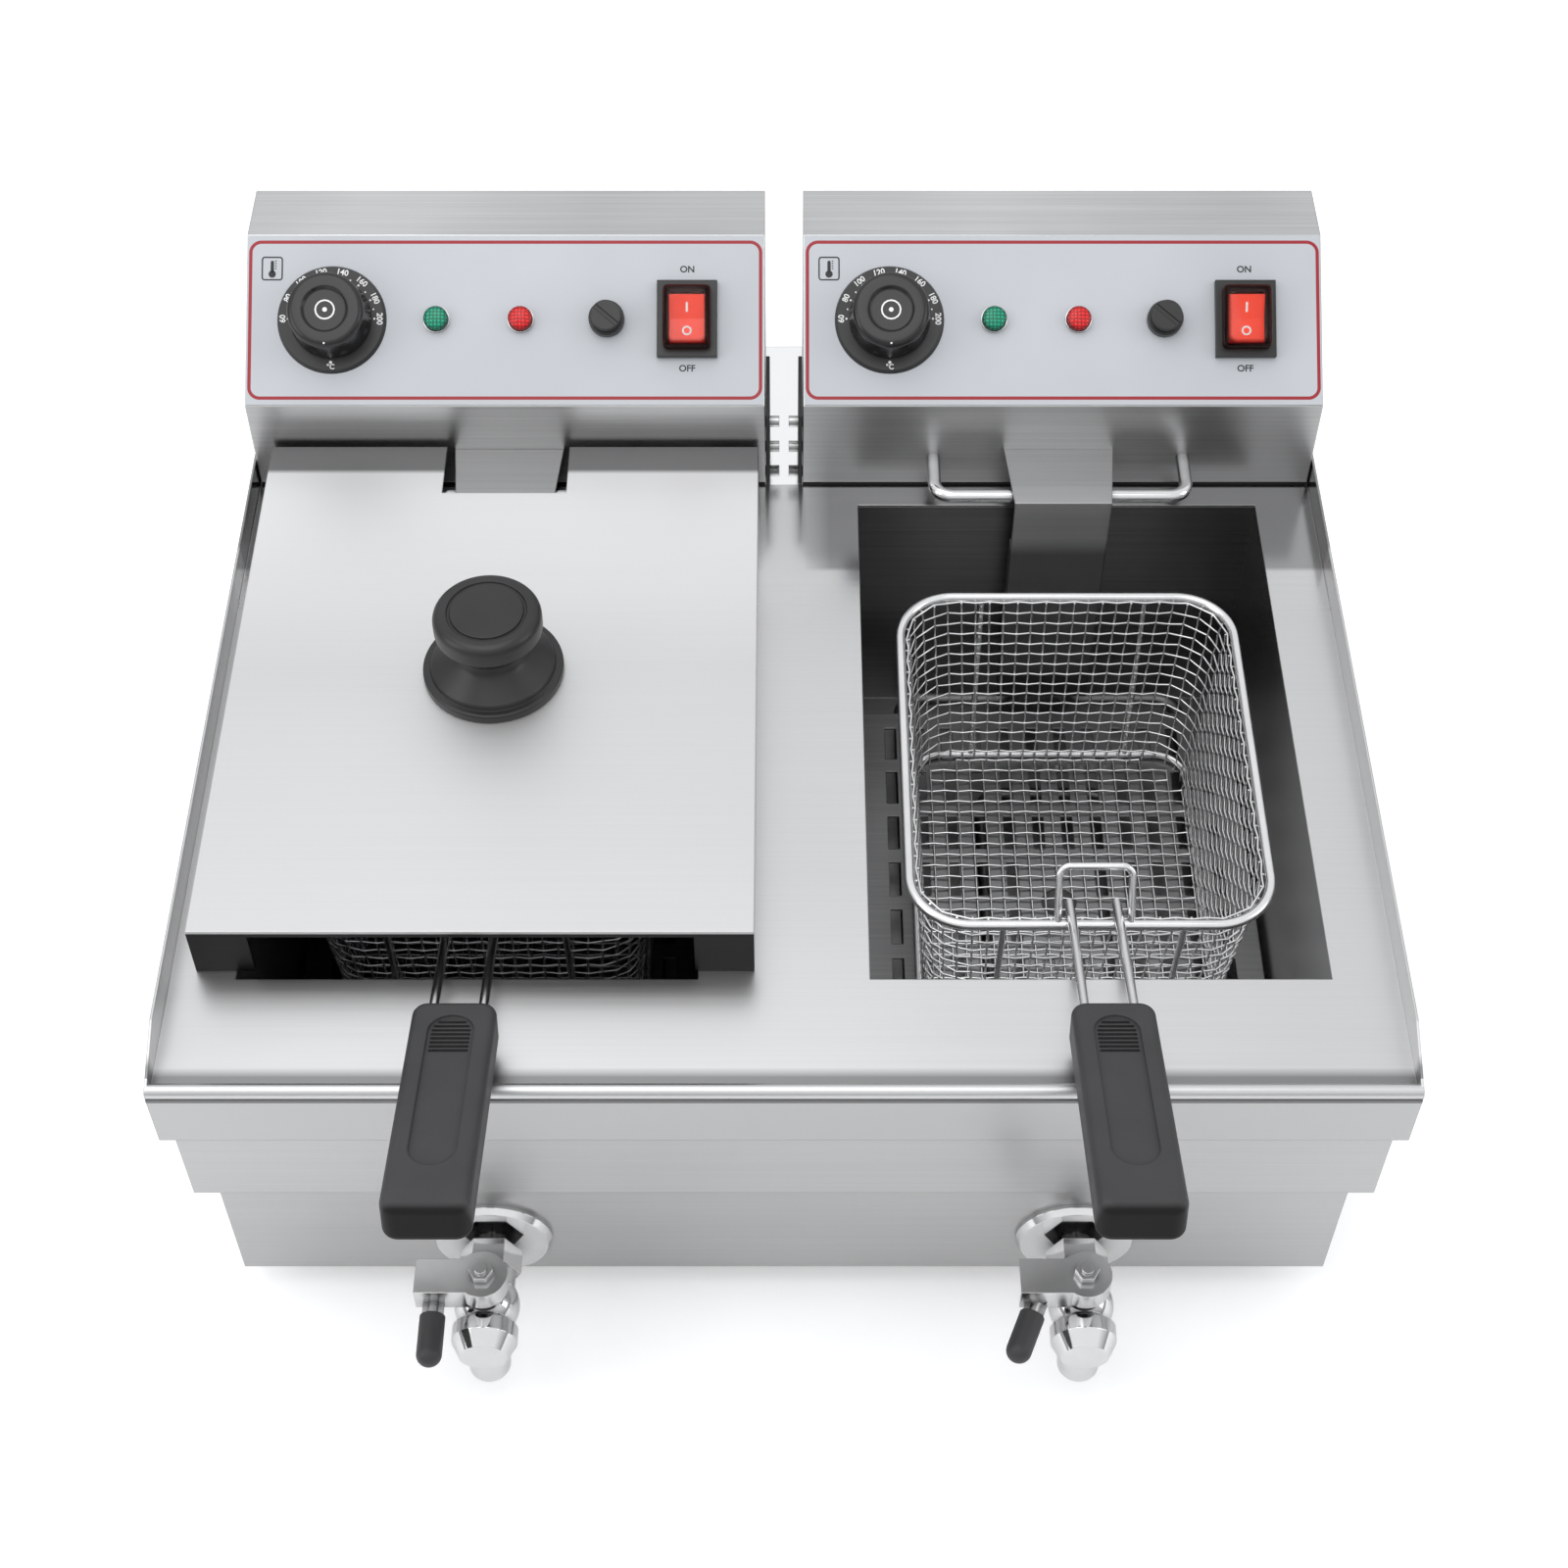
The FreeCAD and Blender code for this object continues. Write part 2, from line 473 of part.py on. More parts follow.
def make_head(name, side):
    """The folded housing of one head, its printed fascia, and its holes."""
    middle = f"{side} * bay_x"
    outer = [(FACE_Y, HEAD_Z), (BACK_Y, HEAD_Z), (BACK_Y, HEAD_TOP), (PANEL_BACK, HEAD_TOP),
             (FACE_Y, PANEL_Z)]
    inner = [(f"{FACE_Y} + sheet", f"{HEAD_Z} - sheet"), (f"{BACK_Y} - sheet", f"{HEAD_Z} - sheet"),
             (f"{BACK_Y} - sheet", f"{HEAD_TOP} - sheet"),
             (f"{PANEL_BACK} + sheet * (1 - cos(panel_tilt)) / sin(panel_tilt)", f"{HEAD_TOP} - sheet"),
             (f"{FACE_Y} + sheet", f"{PANEL_Z} - sheet * (1 - sin(panel_tilt)) / cos(panel_tilt)")]
    shell = place(prism(f"{name}_head_shell", "YZ_Plane", outer, "head_w"), f"{middle} - head_w / 2")
    room = place(prism(f"{name}_head_room", "YZ_Plane", inner, "head_w - 2 * sheet"),
                 f"{middle} - head_w / 2 + sheet")
    controls = on_panel(together(f"{name}_panel_cutters", panel_holes(name, "shell")), side)
    through_face = [bar(f"{name}_face_hole_{tag}_{hand}", f"{radius} + hole_gap", "6 * sheet",
                        f"{middle} + {hand} * {off}",
                        f"{FACE_Y} + 3 * sheet", f"{DECK_Z} + element_rise", "y")
                    for tag, radius, off in (("leg", "element_r", "leg_x"),
                                             ("capillary", "capillary_r", "bulb_x"))
                    for hand in (-1, 1)]
    vents = [block(f"{name}_vent_{count}", (f"{middle} + {count} * vent_pitch - vent_w / 2",
                                            f"{middle} + {count} * vent_pitch + vent_w / 2"),
                   (f"{BACK_Y} - 3 * sheet", f"{BACK_Y} + sheet"),
                   (f"{HEAD_TOP} - vent_drop - vent_h", f"{HEAD_TOP} - vent_drop"))
             for count in range(-4, 5)]
    gland_hole = bar(f"{name}_gland_hole", "gland_bore_r + hole_gap", "6 * sheet", f"{middle}",
                     f"{BACK_Y} + 3 * sheet",
                     f"{HEAD_Z} + gland_rise", "y")
    bolt_holes = [bar(f"{name}_side_hole_{tag}", "bolt_r + slip", "6 * sheet",
                      f"{middle} - {side} * head_w / 2 - 3 * sheet", f"{FACE_Y} + ear_setback",
                      f"{DECK_Z} + {tag}", "x")
                  for tag in ("bolt_low", "bolt_high")]
    node(cut(f"{name}_head_housing", shell, room, controls, *through_face, *vents, gland_hole,
             *bolt_holes))

    half = "(head_w / 2 - fascia_margin)"
    sheet_plate = block(f"{name}_fascia_sheet", (f"-{half}", half),
                        ("fascia_margin", "panel_l - fascia_margin"), ("0", FASCIA))
    node(on_panel(cut(f"{name}_fascia", sheet_plate, *panel_holes(name, "fascia")), side))


def make_dial(name, side):
    """The fluted knob on its shaft. The shaft turns in the thermostat's bush."""
    ring_top = f"{FASCIA} + dial_t"
    shaft = bar(f"{name}_dial_shaft", "shaft_r", "sheet + shaft_in + fascia_t + dial_t + shaft_out",
                "-dial_u", "row_v",
                "-sheet - shaft_in")
    node(place(together(f"{name}_shaft", [shaft]), f"{side} * bay_x", FACE_Y, PANEL_Z, (1, 0, 0),
               "panel_tilt"))
    blank = cone(f"{name}_knob_blank", "knob_r", "knob_r - knob_taper", "knob_h", z=f"{ring_top} + play")
    reach = "(knob_r + flute_r - flute_depth)"
    flutes = [bar(f"{name}_flute_{count}", "flute_r", "2 * knob_h", f"{reach} * cos({count} * 45 + 22.5)",
                  f"{reach} * sin({count} * 45 + 22.5)") for count in range(8)]
    hole = bar(f"{name}_knob_hole", "shaft_r + slip", "2 * play + shaft_out",
               z=f"{ring_top} + play - 2 * play")
    knob_top = f"{ring_top} + play + knob_h"
    dish = bar(f"{name}_knob_dish", "knob_dish_r", "2 * knob_dish", z=f"{knob_top} - knob_dish")
    groove = block(f"{name}_knob_groove", ("-knob_groove / 2", "knob_groove / 2"), ("-knob_r", "0"),
                   (f"{knob_top} - knob_dish", f"{knob_top} + knob_dish"))
    knob = cut(f"{name}_dial_knob", blank, *flutes, hole, dish, groove)
    node(place(knob, f"{side} * bay_x - dial_u", f"{FACE_Y} + row_v * cos(panel_tilt)",
               f"{PANEL_Z} + row_v * sin(panel_tilt)", (1, 0, 0), "panel_tilt"))


def make_switch(name, side):
    """The rocker of the mains switch, stored with its lower end pressed in."""
    half = "rocker_l / 2"
    profile = [(f"-{half}", "-rocker_keel"), (half, "-rocker_keel"), (half, "rocker_rise"),
               ("0", "rocker_rise - rocker_dish"), (f"-{half}", "rocker_rise")]
    rocker = prism(f"{name}_rocker", "YZ_Plane", profile, "rocker_w")
    node(place(rocker, f"{side} * bay_x + switch_u - rocker_w / 2",
               f"{FACE_Y} + row_v * cos(panel_tilt) - fascia_t * sin(panel_tilt)",
               f"{PANEL_Z} + row_v * sin(panel_tilt) + fascia_t * cos(panel_tilt)", (1, 0, 0),
               "panel_tilt + rocker_tilt"))


def make_reset(name, side):
    """The pin of the safety cut-out, under its cap."""
    pin = bar(f"{name}_reset_pin", "button_r", "button_in + button_out", "reset_u", "row_v",
              f"{FASCIA} + limit_out - button_in")
    node(on_panel(together(f"{name}_reset_button", [pin]), side))


def make_panel_groups():
    """Fixed control pieces that are the same on both heads, as groups of two."""
    groups = {"thermostats": [], "dial_rings": [], "power_lamps": [], "heating_lamps": [],
              "reset_caps": [], "limit_thermostats": [], "switch_bodies": [], "switch_boots": []}
    for name, side in SIDES:
        made = {}
        case = block(f"{name}_stat_case", ("-dial_u - stat_w / 2", "stat_w / 2 - dial_u"),
                     ("row_v - stat_w / 2", "row_v + stat_w / 2"), ("-sheet - stat_h", "-sheet"))
        bush = bar(f"{name}_stat_bush", "bush_r", "sheet + fascia_t + dial_t", "-dial_u", "row_v",
                   "-sheet")
        bore = bar(f"{name}_stat_bore", "shaft_r + slip", "2 * stat_h", "-dial_u", "row_v",
                   "-sheet - shaft_in - play")
        made["thermostats"] = cut(f"{name}_thermostat", fuse(f"{name}_stat_solid", case, bush), bore)
        ring = cone(f"{name}_dial_blank", "dial_r", "dial_r - dial_bevel", "dial_t", "-dial_u", "row_v",
                    FASCIA)
        ring_hole = bar(f"{name}_dial_hole", "bush_r + slip", "4 * dial_t", "-dial_u", "row_v", "-dial_t")
        made["dial_rings"] = cut(f"{name}_dial_ring", ring, ring_hole)
        for group, u in (("power_lamps", "-power_u"), ("heating_lamps", "heat_u")):
            made[group] = fuse(f"{name}_{group}_solid",
                               bar(f"{name}_{group}_stem", "lamp_r", f"lamp_back + {FASCIA}", u, "row_v",
                                   "-lamp_back"),
                               bar(f"{name}_{group}_rim", "lamp_rim_r", "lamp_rim_h", u, "row_v", FASCIA),
                               cone(f"{name}_{group}_dome", "lamp_r", "lamp_r - lamp_dome", "lamp_dome",
                                    u, "row_v",
                                    f"{FASCIA} + lamp_rim_h"))
        cap_top = f"{FASCIA} + reset_h"
        cap_blank = fuse(f"{name}_cap_blank",
                         bar(f"{name}_cap_skirt", "reset_r", "reset_skirt", "reset_u", "row_v", FASCIA),
                         bar(f"{name}_cap_top", "reset_top_r", "reset_h", "reset_u", "row_v", FASCIA))
        cap_room = bar(f"{name}_cap_room", "reset_bush_r + hole_gap", "reset_h", "reset_u", "row_v",
                       f"{FASCIA} - reset_wall")
        cap_slot = block(f"{name}_cap_slot", ("-reset_r", "reset_r"),
                         ("-reset_slot / 2", "reset_slot / 2"),
                         (f"{cap_top} - reset_wall / 2", f"{cap_top} + reset_wall"))
        turned_slot = place(together(f"{name}_turned_slot", [cap_slot]), "reset_u", "row_v", "0",
                            (0, 0, -1), "reset_turn")
        cap = cut(f"{name}_reset_cap", cap_blank, cap_room, turned_slot)
        made["reset_caps"] = cap
        limit = fuse(f"{name}_limit_solid",
                     bar(f"{name}_limit_can", "limit_r", "limit_l", "reset_u", "row_v",
                         "-sheet - limit_l"),
                     bar(f"{name}_limit_bush", "reset_bush_r", f"sheet + {FASCIA} + limit_out", "reset_u",
                         "row_v", "-sheet"))
        pin_bore = bar(f"{name}_limit_bore", "button_r + slip", "2 * limit_l", "reset_u", "row_v",
                       f"{FASCIA} + limit_out - button_in - button_travel - play")
        made["limit_thermostats"] = cut(f"{name}_limit_thermostat", limit, pin_bore)
        bezel = block(f"{name}_bezel", ("switch_u - bezel_w / 2", "switch_u + bezel_w / 2"),
                      ("row_v - bezel_l / 2", "row_v + bezel_l / 2"), (FASCIA, f"{FASCIA} + bezel_h"))
        box = block(f"{name}_switch_box", ("switch_u - switch_w / 2", "switch_u + switch_w / 2"),
                    ("row_v - switch_l / 2", "row_v + switch_l / 2"), ("-switch_deep", FASCIA))
        well = block(f"{name}_switch_well",
                     ("switch_u - rocker_w / 2 - play", "switch_u + rocker_w / 2 + play"),
                     ("row_v - rocker_l / 2 - rocker_swing", "row_v + rocker_l / 2 + rocker_swing"),
                     ("-rocker_well", f"{FASCIA} + 2 * bezel_h"))
        made["switch_bodies"] = cut(f"{name}_switch_body", fuse(f"{name}_switch_solid", bezel, box), well)
        boot_low, boot_top = f"{FASCIA} + bezel_h", f"{FASCIA} + bezel_h + boot_h"
        boot = block(f"{name}_boot_blank", ("switch_u - boot_w / 2", "switch_u + boot_w / 2"),
                     ("row_v - boot_l / 2", "row_v + boot_l / 2"), (boot_low, boot_top))
        boot_room = block(f"{name}_boot_room",
                          ("switch_u - boot_w / 2 + boot_wall", "switch_u + boot_w / 2 - boot_wall"),
                          ("row_v - boot_l / 2 + boot_wall", "row_v + boot_l / 2 - boot_wall"),
                          (f"{boot_low} - boot_wall", f"{boot_top} - boot_wall"))
        made["switch_boots"] = cut(f"{name}_switch_boot", boot, boot_room)
        for group, piece in made.items():
            groups[group].append(on_panel(piece, side))
    for group, pieces in groups.items():
        node(together(group, pieces))


def make_head_fixings():
    """The two bracket ears between the heads, their bolts, and the cable glands on the heads' backs."""
    inner = "(bay_x - head_w / 2 - ear_gap)"
    start, end = f"{FACE_Y} + ear_gap", f"{FACE_Y} + ear_gap + ear_l"
    top = f"{DECK_Z} + ear_h"
    profile = [(start, DECK_Z), (end, DECK_Z), (end, f"{top} - ear_chamfer"),
               (f"{end} - ear_chamfer", top),
               (f"{start} + ear_chamfer", top), (start, f"{top} - ear_chamfer")]
    spots = [(tag, f"{FACE_Y} + ear_setback", f"{DECK_Z} + {tag}") for tag in ("bolt_low", "bolt_high")]
    ears = []
    for name, side in SIDES:
        plate = place(prism(f"{name}_ear_plate", "YZ_Plane", profile, "ear_t"),
                      f"{side} * ({inner} - ear_t / 2) - ear_t / 2")
        holes = [bar(f"{name}_ear_hole_{tag}", "bolt_r + slip", "deck_w / 4", "-deck_w / 8", y, z, "x")
                 for tag, y, z in spots]
        ears.append(cut(f"{name}_ear", plate, *holes))
    node(together("head_bracket", ears))
    length = "bolt_out + ear_t + ear_gap + sheet + bolt_in"
    middle = f"({inner} - ear_t - bolt_out + ({length}) / 2)"
    bolts = [bar(f"{name}_{tag}_bolt", "bolt_r", length, f"{side} * {middle} - ({length}) / 2", y, z, "x")
             for name, side in SIDES for tag, y, z in spots]
    node(together("head_bolts", bolts))
    glands = []
    for name, side in SIDES:
        x, z = f"{side} * bay_x", f"{HEAD_Z} + gland_rise"
        solid = fuse(f"{name}_gland_solid",
                     hexagon(f"{name}_gland_hex", "gland_r", "gland_l / 2", x, f"{BACK_Y} + gland_l / 2",
                             z, "y"),
                     cone(f"{name}_gland_nose", "gland_r - gland_taper", "gland_r - gland_taper / 2",
                          "gland_l / 2", x,
                          f"{BACK_Y} + gland_l", z, "y"))
        bore = bar(f"{name}_gland_bore", "gland_bore_r", "3 * gland_l", x, f"{BACK_Y} + 2 * gland_l", z,
                   "y")
        glands.append(cut(f"{name}_gland", solid, bore))
    node(together("cable_glands", glands))


def make_head_seals():
    """Black strips that close the gap between each head and the deck."""
    strips = []
    for name, side in SIDES:
        middle = f"{side} * bay_x"
        outer = block(f"{name}_seal_blank",
                      (f"{middle} - head_w / 2 + sheet / 2", f"{middle} + head_w / 2 - sheet / 2"),
                      (f"{FACE_Y} + sheet / 2", f"{BACK_Y} - sheet / 2"), (DECK_Z, HEAD_Z))
        inner = block(f"{name}_seal_window",
                      (f"{middle} - head_w / 2 + seal_w", f"{middle} + head_w / 2 - seal_w"),
                      (f"{FACE_Y} + seal_w", f"{BACK_Y} - seal_w"), (UNDER_DECK, f"{HEAD_Z} + sheet"))
        strips.append(cut(f"{name}_seal", outer, inner))
    node(together("head_seals", strips))


# Heating
def make_heating(name, side):
    """The element under the strainer, the guard over its legs, and the rest that the basket drains on."""
    middle = f"{side} * bay_x"
    riser_y, riser_top = "front_y + riser_setback", f"{DECK_Z} + riser_rise"
    low = f"{TANK_FLOOR} + riser_drop"
    front = block(f"{name}_riser_front", ("-riser_w / 2", "riser_w / 2"),
                  (riser_y, f"{riser_y} + riser_t"), (low, riser_top))
    flanges = [block(f"{name}_riser_flange_{hand}", (f"{hand} * (riser_w - riser_t) / 2 - riser_t / 2",
                                                    f"{hand} * (riser_w - riser_t) / 2 + riser_t / 2"),
                     (riser_y, f"{riser_y} + riser_flange"), (low, f"{DECK_Z} - riser_flange"))
               for hand in (-1, 1)]
    cover = prism(f"{name}_riser_cover", "XY_Plane",
                  [("-riser_w / 2", riser_y), ("riser_w / 2", riser_y), ("riser_top_w / 2", FACE_Y),
                   ("-riser_top_w / 2", FACE_Y)],
                  "riser_t")
    place(cover, z=f"{riser_top} - riser_t")
    node(place(fuse(f"{name}_element_riser", front, cover, *flanges), middle))

    leg_y, leg_z = "front_y + leg_setback", f"{DECK_Z} + element_rise"
    run_z = f"{TANK_FLOOR} + element_floor"
    half = [("leg_x", f"{FACE_Y} + element_in", leg_z), ("leg_x", leg_y, leg_z), ("leg_x", leg_y, run_z),
            ("run_outer", leg_y, run_z), ("run_outer", "front_y + run_front", run_z),
            ("run_inner", "front_y + run_front", run_z), ("run_inner", "front_y + cross_back", run_z)]
    other = [(f"-{across}", along, up) for across, along, up in reversed(half)]
    node(place(tube(f"{name}_heating_element", half + other, "element_r", "element_bend"), middle))

    rest_y, rest_z = f"{FACE_Y} - rest_reach", f"{DECK_Z} + rest_rise"
    hoop = [("-rest_w / 2", FACE_Y, rest_z), ("-rest_w / 2", rest_y, rest_z),
            ("rest_w / 2", rest_y, rest_z),
            ("rest_w / 2", FACE_Y, rest_z)]
    node(place(tube(f"{name}_basket_rest", hoop, "rest_r", "rest_bend"), middle))


def make_sensors():
    """Thermostat bulbs beside the element legs, on capillaries that run up into the heads."""
    leg_y, leg_z = "front_y + leg_setback", f"{DECK_Z} + element_rise"
    low = f"{TANK_FLOOR} + bulb_rise"
    bulbs = []
    for name, side in SIDES:
        for hand in (-1, 1):
            x = f"{hand} * bulb_x"
            bulb = bar(f"{name}_bulb_{hand}", "bulb_r", "bulb_l", x, leg_y, low)
            thread = tube(f"{name}_capillary_{hand}",
                          [(x, leg_y, f"{low} + bulb_l - capillary_r"), (x, leg_y, leg_z),
                           (x, f"{FACE_Y} + element_in", leg_z)],
                          "capillary_r", "capillary_bend")
            bulbs.append(place(fuse(f"{name}_sensor_{hand}", bulb, thread), f"{side} * bay_x"))
    node(together("sensor_bulbs", bulbs))


# Lift-out pieces
def make_strainer(name, side):
    """The slotted plate that stands over the element and carries the basket."""
    half = "(strainer_w / 2)"
    front, back = f"{TANK_FRONT} + strainer_gap", f"{TANK_FRONT} + strainer_gap + strainer_l"
    low, top = f"{TANK_FLOOR} + play", STRAINER_TOP
    blank = block(f"{name}_strainer_blank", (f"-{half}", half), (front, back), (low, top))
    under = block(f"{name}_strainer_under", (f"-{half} + strainer_t", f"{half} - strainer_t"),
                  (f"{front} - strainer_gap", f"{back} + strainer_gap"),
                  (f"{low} - strainer_t", f"{top} - strainer_t"))
    middle_y = f"({front} + strainer_l / 2)"
    slots = []
    for column in range(-6, 6):
        for line in range(-4, 4):
            if column in (-1, 0) and line in (-1, 0):
                continue
            x, y = f"({column} + 0.5) * slot_pitch_x", f"{middle_y} + ({line} + 0.5) * slot_pitch_y"
            slots.append(block(f"{name}_slot_{column}_{line}", (f"{x} - slot_w / 2", f"{x} + slot_w / 2"),
                               (f"{y} - slot_l / 2", f"{y} + slot_l / 2"),
                               (f"{top} - 2 * strainer_t", f"{top} + strainer_t")))
    finger = bar(f"{name}_finger_hole", "finger_r", "4 * strainer_t", "0", middle_y,
                 f"{top} - 2 * strainer_t")
    node(place(cut(f"{name}_strainer", blank, under, finger, *slots), f"{side} * bay_x"))


def make_basket(name, side):
    """The wire basket: its mesh tub, its frame of rim, ring, uprights and bail, and its handle."""
    middle_y = value(f"{RIM_FRONT} + rim_l / 2")
    top_inset, slope = value("rim_r + slip"), value("basket_inset")
    top_w, top_l = value("rim_w") - 2 * top_inset, value("rim_l") - 2 * top_inset
    low_w, low_l = top_w - 2 * slope, top_l - 2 * slope
    corner, wall = value("rim_corner") - top_inset, value("mesh_t")
    top_z, low_z = value(RIM_Z), value(f"{STRAINER_TOP} + 2 * play")
    skin = Part.makeLoft([rounded_loop(low_w, low_l, middle_y, low_z, corner - slope / 2),
                          rounded_loop(top_w, top_l, middle_y, top_z, corner)], True, True)
    room = Part.makeLoft([rounded_loop(low_w - 2 * wall, low_l - 2 * wall, middle_y, low_z + wall,
                                       corner - slope / 2 - wall),
                          rounded_loop(top_w - 2 * wall, top_l - 2 * wall, middle_y, top_z + wall,
                                       corner - wall)], True, True)
    mesh = doc.addObject("Part::Feature", f"{name}_basket_mesh")
    mesh.Shape = skin.cut(room)
    node(place(mesh, f"{side} * bay_x"))

    front, back = RIM_FRONT, f"{RIM_FRONT} + rim_l"
    drawn_in = "(basket_inset + rim_r - ring_r - 2 * play)"
    def corners(inset, z):
        return [(f"{across} * (rim_w / 2 - {inset})",
                 f"{RIM_FRONT} + rim_l / 2 + {along} * (rim_l / 2 - {inset})", z)
                for across, along in ((-1, -1), (1, -1), (1, 1), (-1, 1))]
    rim = tube(f"{name}_rim", corners("0", RIM_Z), "rim_r", "rim_corner", closed=True)
    ring = tube(f"{name}_ring", corners(drawn_in, RING_Z), "ring_r", "rim_corner - basket_inset",
                closed=True)
    uprights = [straight_wire(f"{name}_upright_{end}_{hand}", "upright_r",
                              (f"{hand} * upright_x", low_y, RING_Z),
                              (f"{hand} * upright_x", high_y, RIM_Z))
                for end, low_y, high_y in (("front", f"{front} + {drawn_in}", front),
                                           ("back", f"{back} - {drawn_in}", back))
                for hand in (-1, 1)]
    bail_top = (f"{front} + bail_lean", f"{RIM_Z} + bail_h")
    bail = tube(f"{name}_bail",
                [("-bail_w / 2", front, RIM_Z), ("-bail_w / 2", *bail_top), ("bail_w / 2", *bail_top),
                                 ("bail_w / 2", front, RIM_Z)], "bail_r", "bail_bend")
    node(place(fuse(f"{name}_basket_frame", rim, ring, bail, *uprights), f"{side} * bay_x"))

    lean = {"x": f"{side} * bay_x", "y": "front_y + grip_setback - grip_t / 2 * sin(handle_tilt)",
            "z": f"{DECK_Z} + grip_rise - grip_t / 2 * cos(handle_tilt)", "axis": (-1, 0, 0),
            "angle": "handle_tilt"}
    rods = [bar(f"{name}_rod_{hand}", "handle_r", "handle_l", f"{hand} * handle_gap / 2",
                "handle_l - handle_in", "grip_t / 2", "y")
            for hand in (-1, 1)]
    node(place(together(f"{name}_handle_rods", rods), **lean))

    grip = prism(f"{name}_grip_body", "XY_Plane",
                 [("-grip_w / 2", "0"), ("-grip_w / 2", "-grip_l"), ("grip_w / 2", "-grip_l"),
                                                  ("grip_w / 2", "0")], "grip_t")
    doc.recompute()
    pad = grip.Tip
    upright_edges = [f"Edge{count}" for count, edge in enumerate(pad.Shape.Edges, 1)
                     if abs(edge.tangentAt(edge.FirstParameter).z) > 0.9]
    corner_fillet = grip.newObject("PartDesign::Fillet", f"{name}_grip_corners")
    corner_fillet.Base = (pad, upright_edges)
    corner_fillet.setExpression("Radius", bound("grip_corner"))
    doc.recompute()
    flat_edges = [f"Edge{count}" for count, edge in enumerate(corner_fillet.Shape.Edges, 1)
                  if abs(edge.BoundBox.ZLength) < 0.001]
    round_fillet = grip.newObject("PartDesign::Fillet", f"{name}_grip_rounds")
    round_fillet.Base = (corner_fillet, flat_edges)
    round_fillet.setExpression("Radius", bound("grip_round"))
    sockets = [bar(f"{name}_socket_{hand}", "handle_r + slip", "2 * handle_in + play",
                   f"{hand} * handle_gap / 2", "handle_in",
                   "grip_t / 2", "y") for hand in (-1, 1)]
    recess_y, recess_z = "-(recess_in + recess_w / 2)", "grip_t - recess_t"
    recess = fuse(f"{name}_recess",
                  block(f"{name}_recess_mid", ("-recess_w / 2", "recess_w / 2"),
                        (f"{recess_y} - recess_l", recess_y),
                        (recess_z, f"{recess_z} + 2 * recess_t")),
                  *[bar(f"{name}_recess_end_{end}", "recess_w / 2", "2 * recess_t", "0",
                        f"{recess_y} - {end} * recess_l", recess_z)
                    for end in (0, 1)])
    node(place(cut(f"{name}_grip", grip, recess, *sockets), **lean))


def make_lid():
    """The lid of the left tank: a shallow tray, notched for the riser, with a gap for the handle."""
    half = "(lid_w / 2)"
    back = f"{FACE_Y} - lid_back"
    front = f"{back} - lid_l"
    middle = "-bay_x + lid_shift"
    top = f"{LID_Z} + lid_h"
    blank = block("lid_blank", (f"-{half}", half), (front, back), (LID_Z, top))
    under = block("lid_under", (f"-{half} + lid_t", f"{half} - lid_t"),
                  (f"{front} + lid_t", f"{back} + lid_t"),
                  (f"{LID_Z} - lid_t", f"{top} - lid_t"))
    gap = block("lid_gap_cutter", (f"-{half} + lid_tab", f"{half} - lid_tab"),
                (f"{front} - lid_t", f"{front} + 2 * lid_t"),
                (f"{LID_Z} - lid_t", f"{top} - lid_lip"))
    notch = block("lid_notch", ("-notch_w / 2 - lid_shift", "notch_w / 2 - lid_shift"),
                  (f"{back} - notch_l", f"{back} + lid_t"), (f"{top} - 2 * lid_t", f"{top} + lid_t"))
    node(place(cut("lid", blank, under, gap, notch), middle))
    knob = turned("lid_knob", [("0", "0"), ("lid_knob_r", "0"), ("lid_knob_r", "lid_skirt_h"),
                               ("lid_knob_r - lid_skirt_in", "lid_skirt_h + lid_skirt_in"),
                               ("lid_waist_r", "lid_waist_z"),
                               ("lid_waist_r + lid_skirt_in", "lid_waist_z + 2 * lid_skirt_in"),
                               ("lid_grip_r", "lid_knob_h - lid_grip_h"),
                               ("lid_grip_r", "lid_knob_h - lid_skirt_in"),
                               ("lid_grip_r - lid_skirt_in", "lid_knob_h"), ("0", "lid_knob_h")])
    node(place(knob, middle, f"{front} + lid_l / 2", top))


make_casing()
for side_name, hand_sign in SIDES:
    make_tank(side_name, hand_sign)
    make_drain(side_name, hand_sign)
    make_head(side_name, hand_sign)
    make_dial(side_name, hand_sign)
    make_switch(side_name, hand_sign)
    make_reset(side_name, hand_sign)
    make_heating(side_name, hand_sign)
    make_strainer(side_name, hand_sign)
    make_basket(side_name, hand_sign)
make_trim_discs()
make_panel_groups()
make_head_fixings()
make_head_seals()
make_sensors()
make_lid()
doc.recompute()

for item in doc.Objects:
    if any(word in ("Invalid", "Error") for word in item.State):
        raise RuntimeError(f"{item.Label} failed: {item.State}")
for item in nodes:
    if item.Shape.isNull() or not item.Shape.isValid():
        raise RuntimeError(f"{item.Label} has no sound shape")

os.makedirs("parts", exist_ok=True)
for item in nodes:
    item.Shape.exportStep(f"parts/{item.Label}.step")
whole = Part.makeCompound([item.Shape for item in nodes]).BoundBox
print(f"{len(nodes)} sub-parts, box {whole.XMin:.2f} {whole.XMax:.2f}, "
      f"{whole.YMin:.2f} {whole.YMax:.2f}, {whole.ZMin:.2f} {whole.ZMax:.2f}")
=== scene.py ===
# %% [markdown]
# # A twin-tank deep fryer, dressed for its portrait
#
# This counter-top fryer has two oil tanks, two wire baskets, one lid and two sloping control heads. Its
# solids come from the imported model, exact in size and place. This lesson gives each of them a finish, and
# models by hand what a mesh shows better than a solid: woven wire, turned knobs, faceted lamps, clear
# boots and prints.

# %% Load the solids
import math
from collections import namedtuple

import bpy
from mathutils import Matrix, Vector


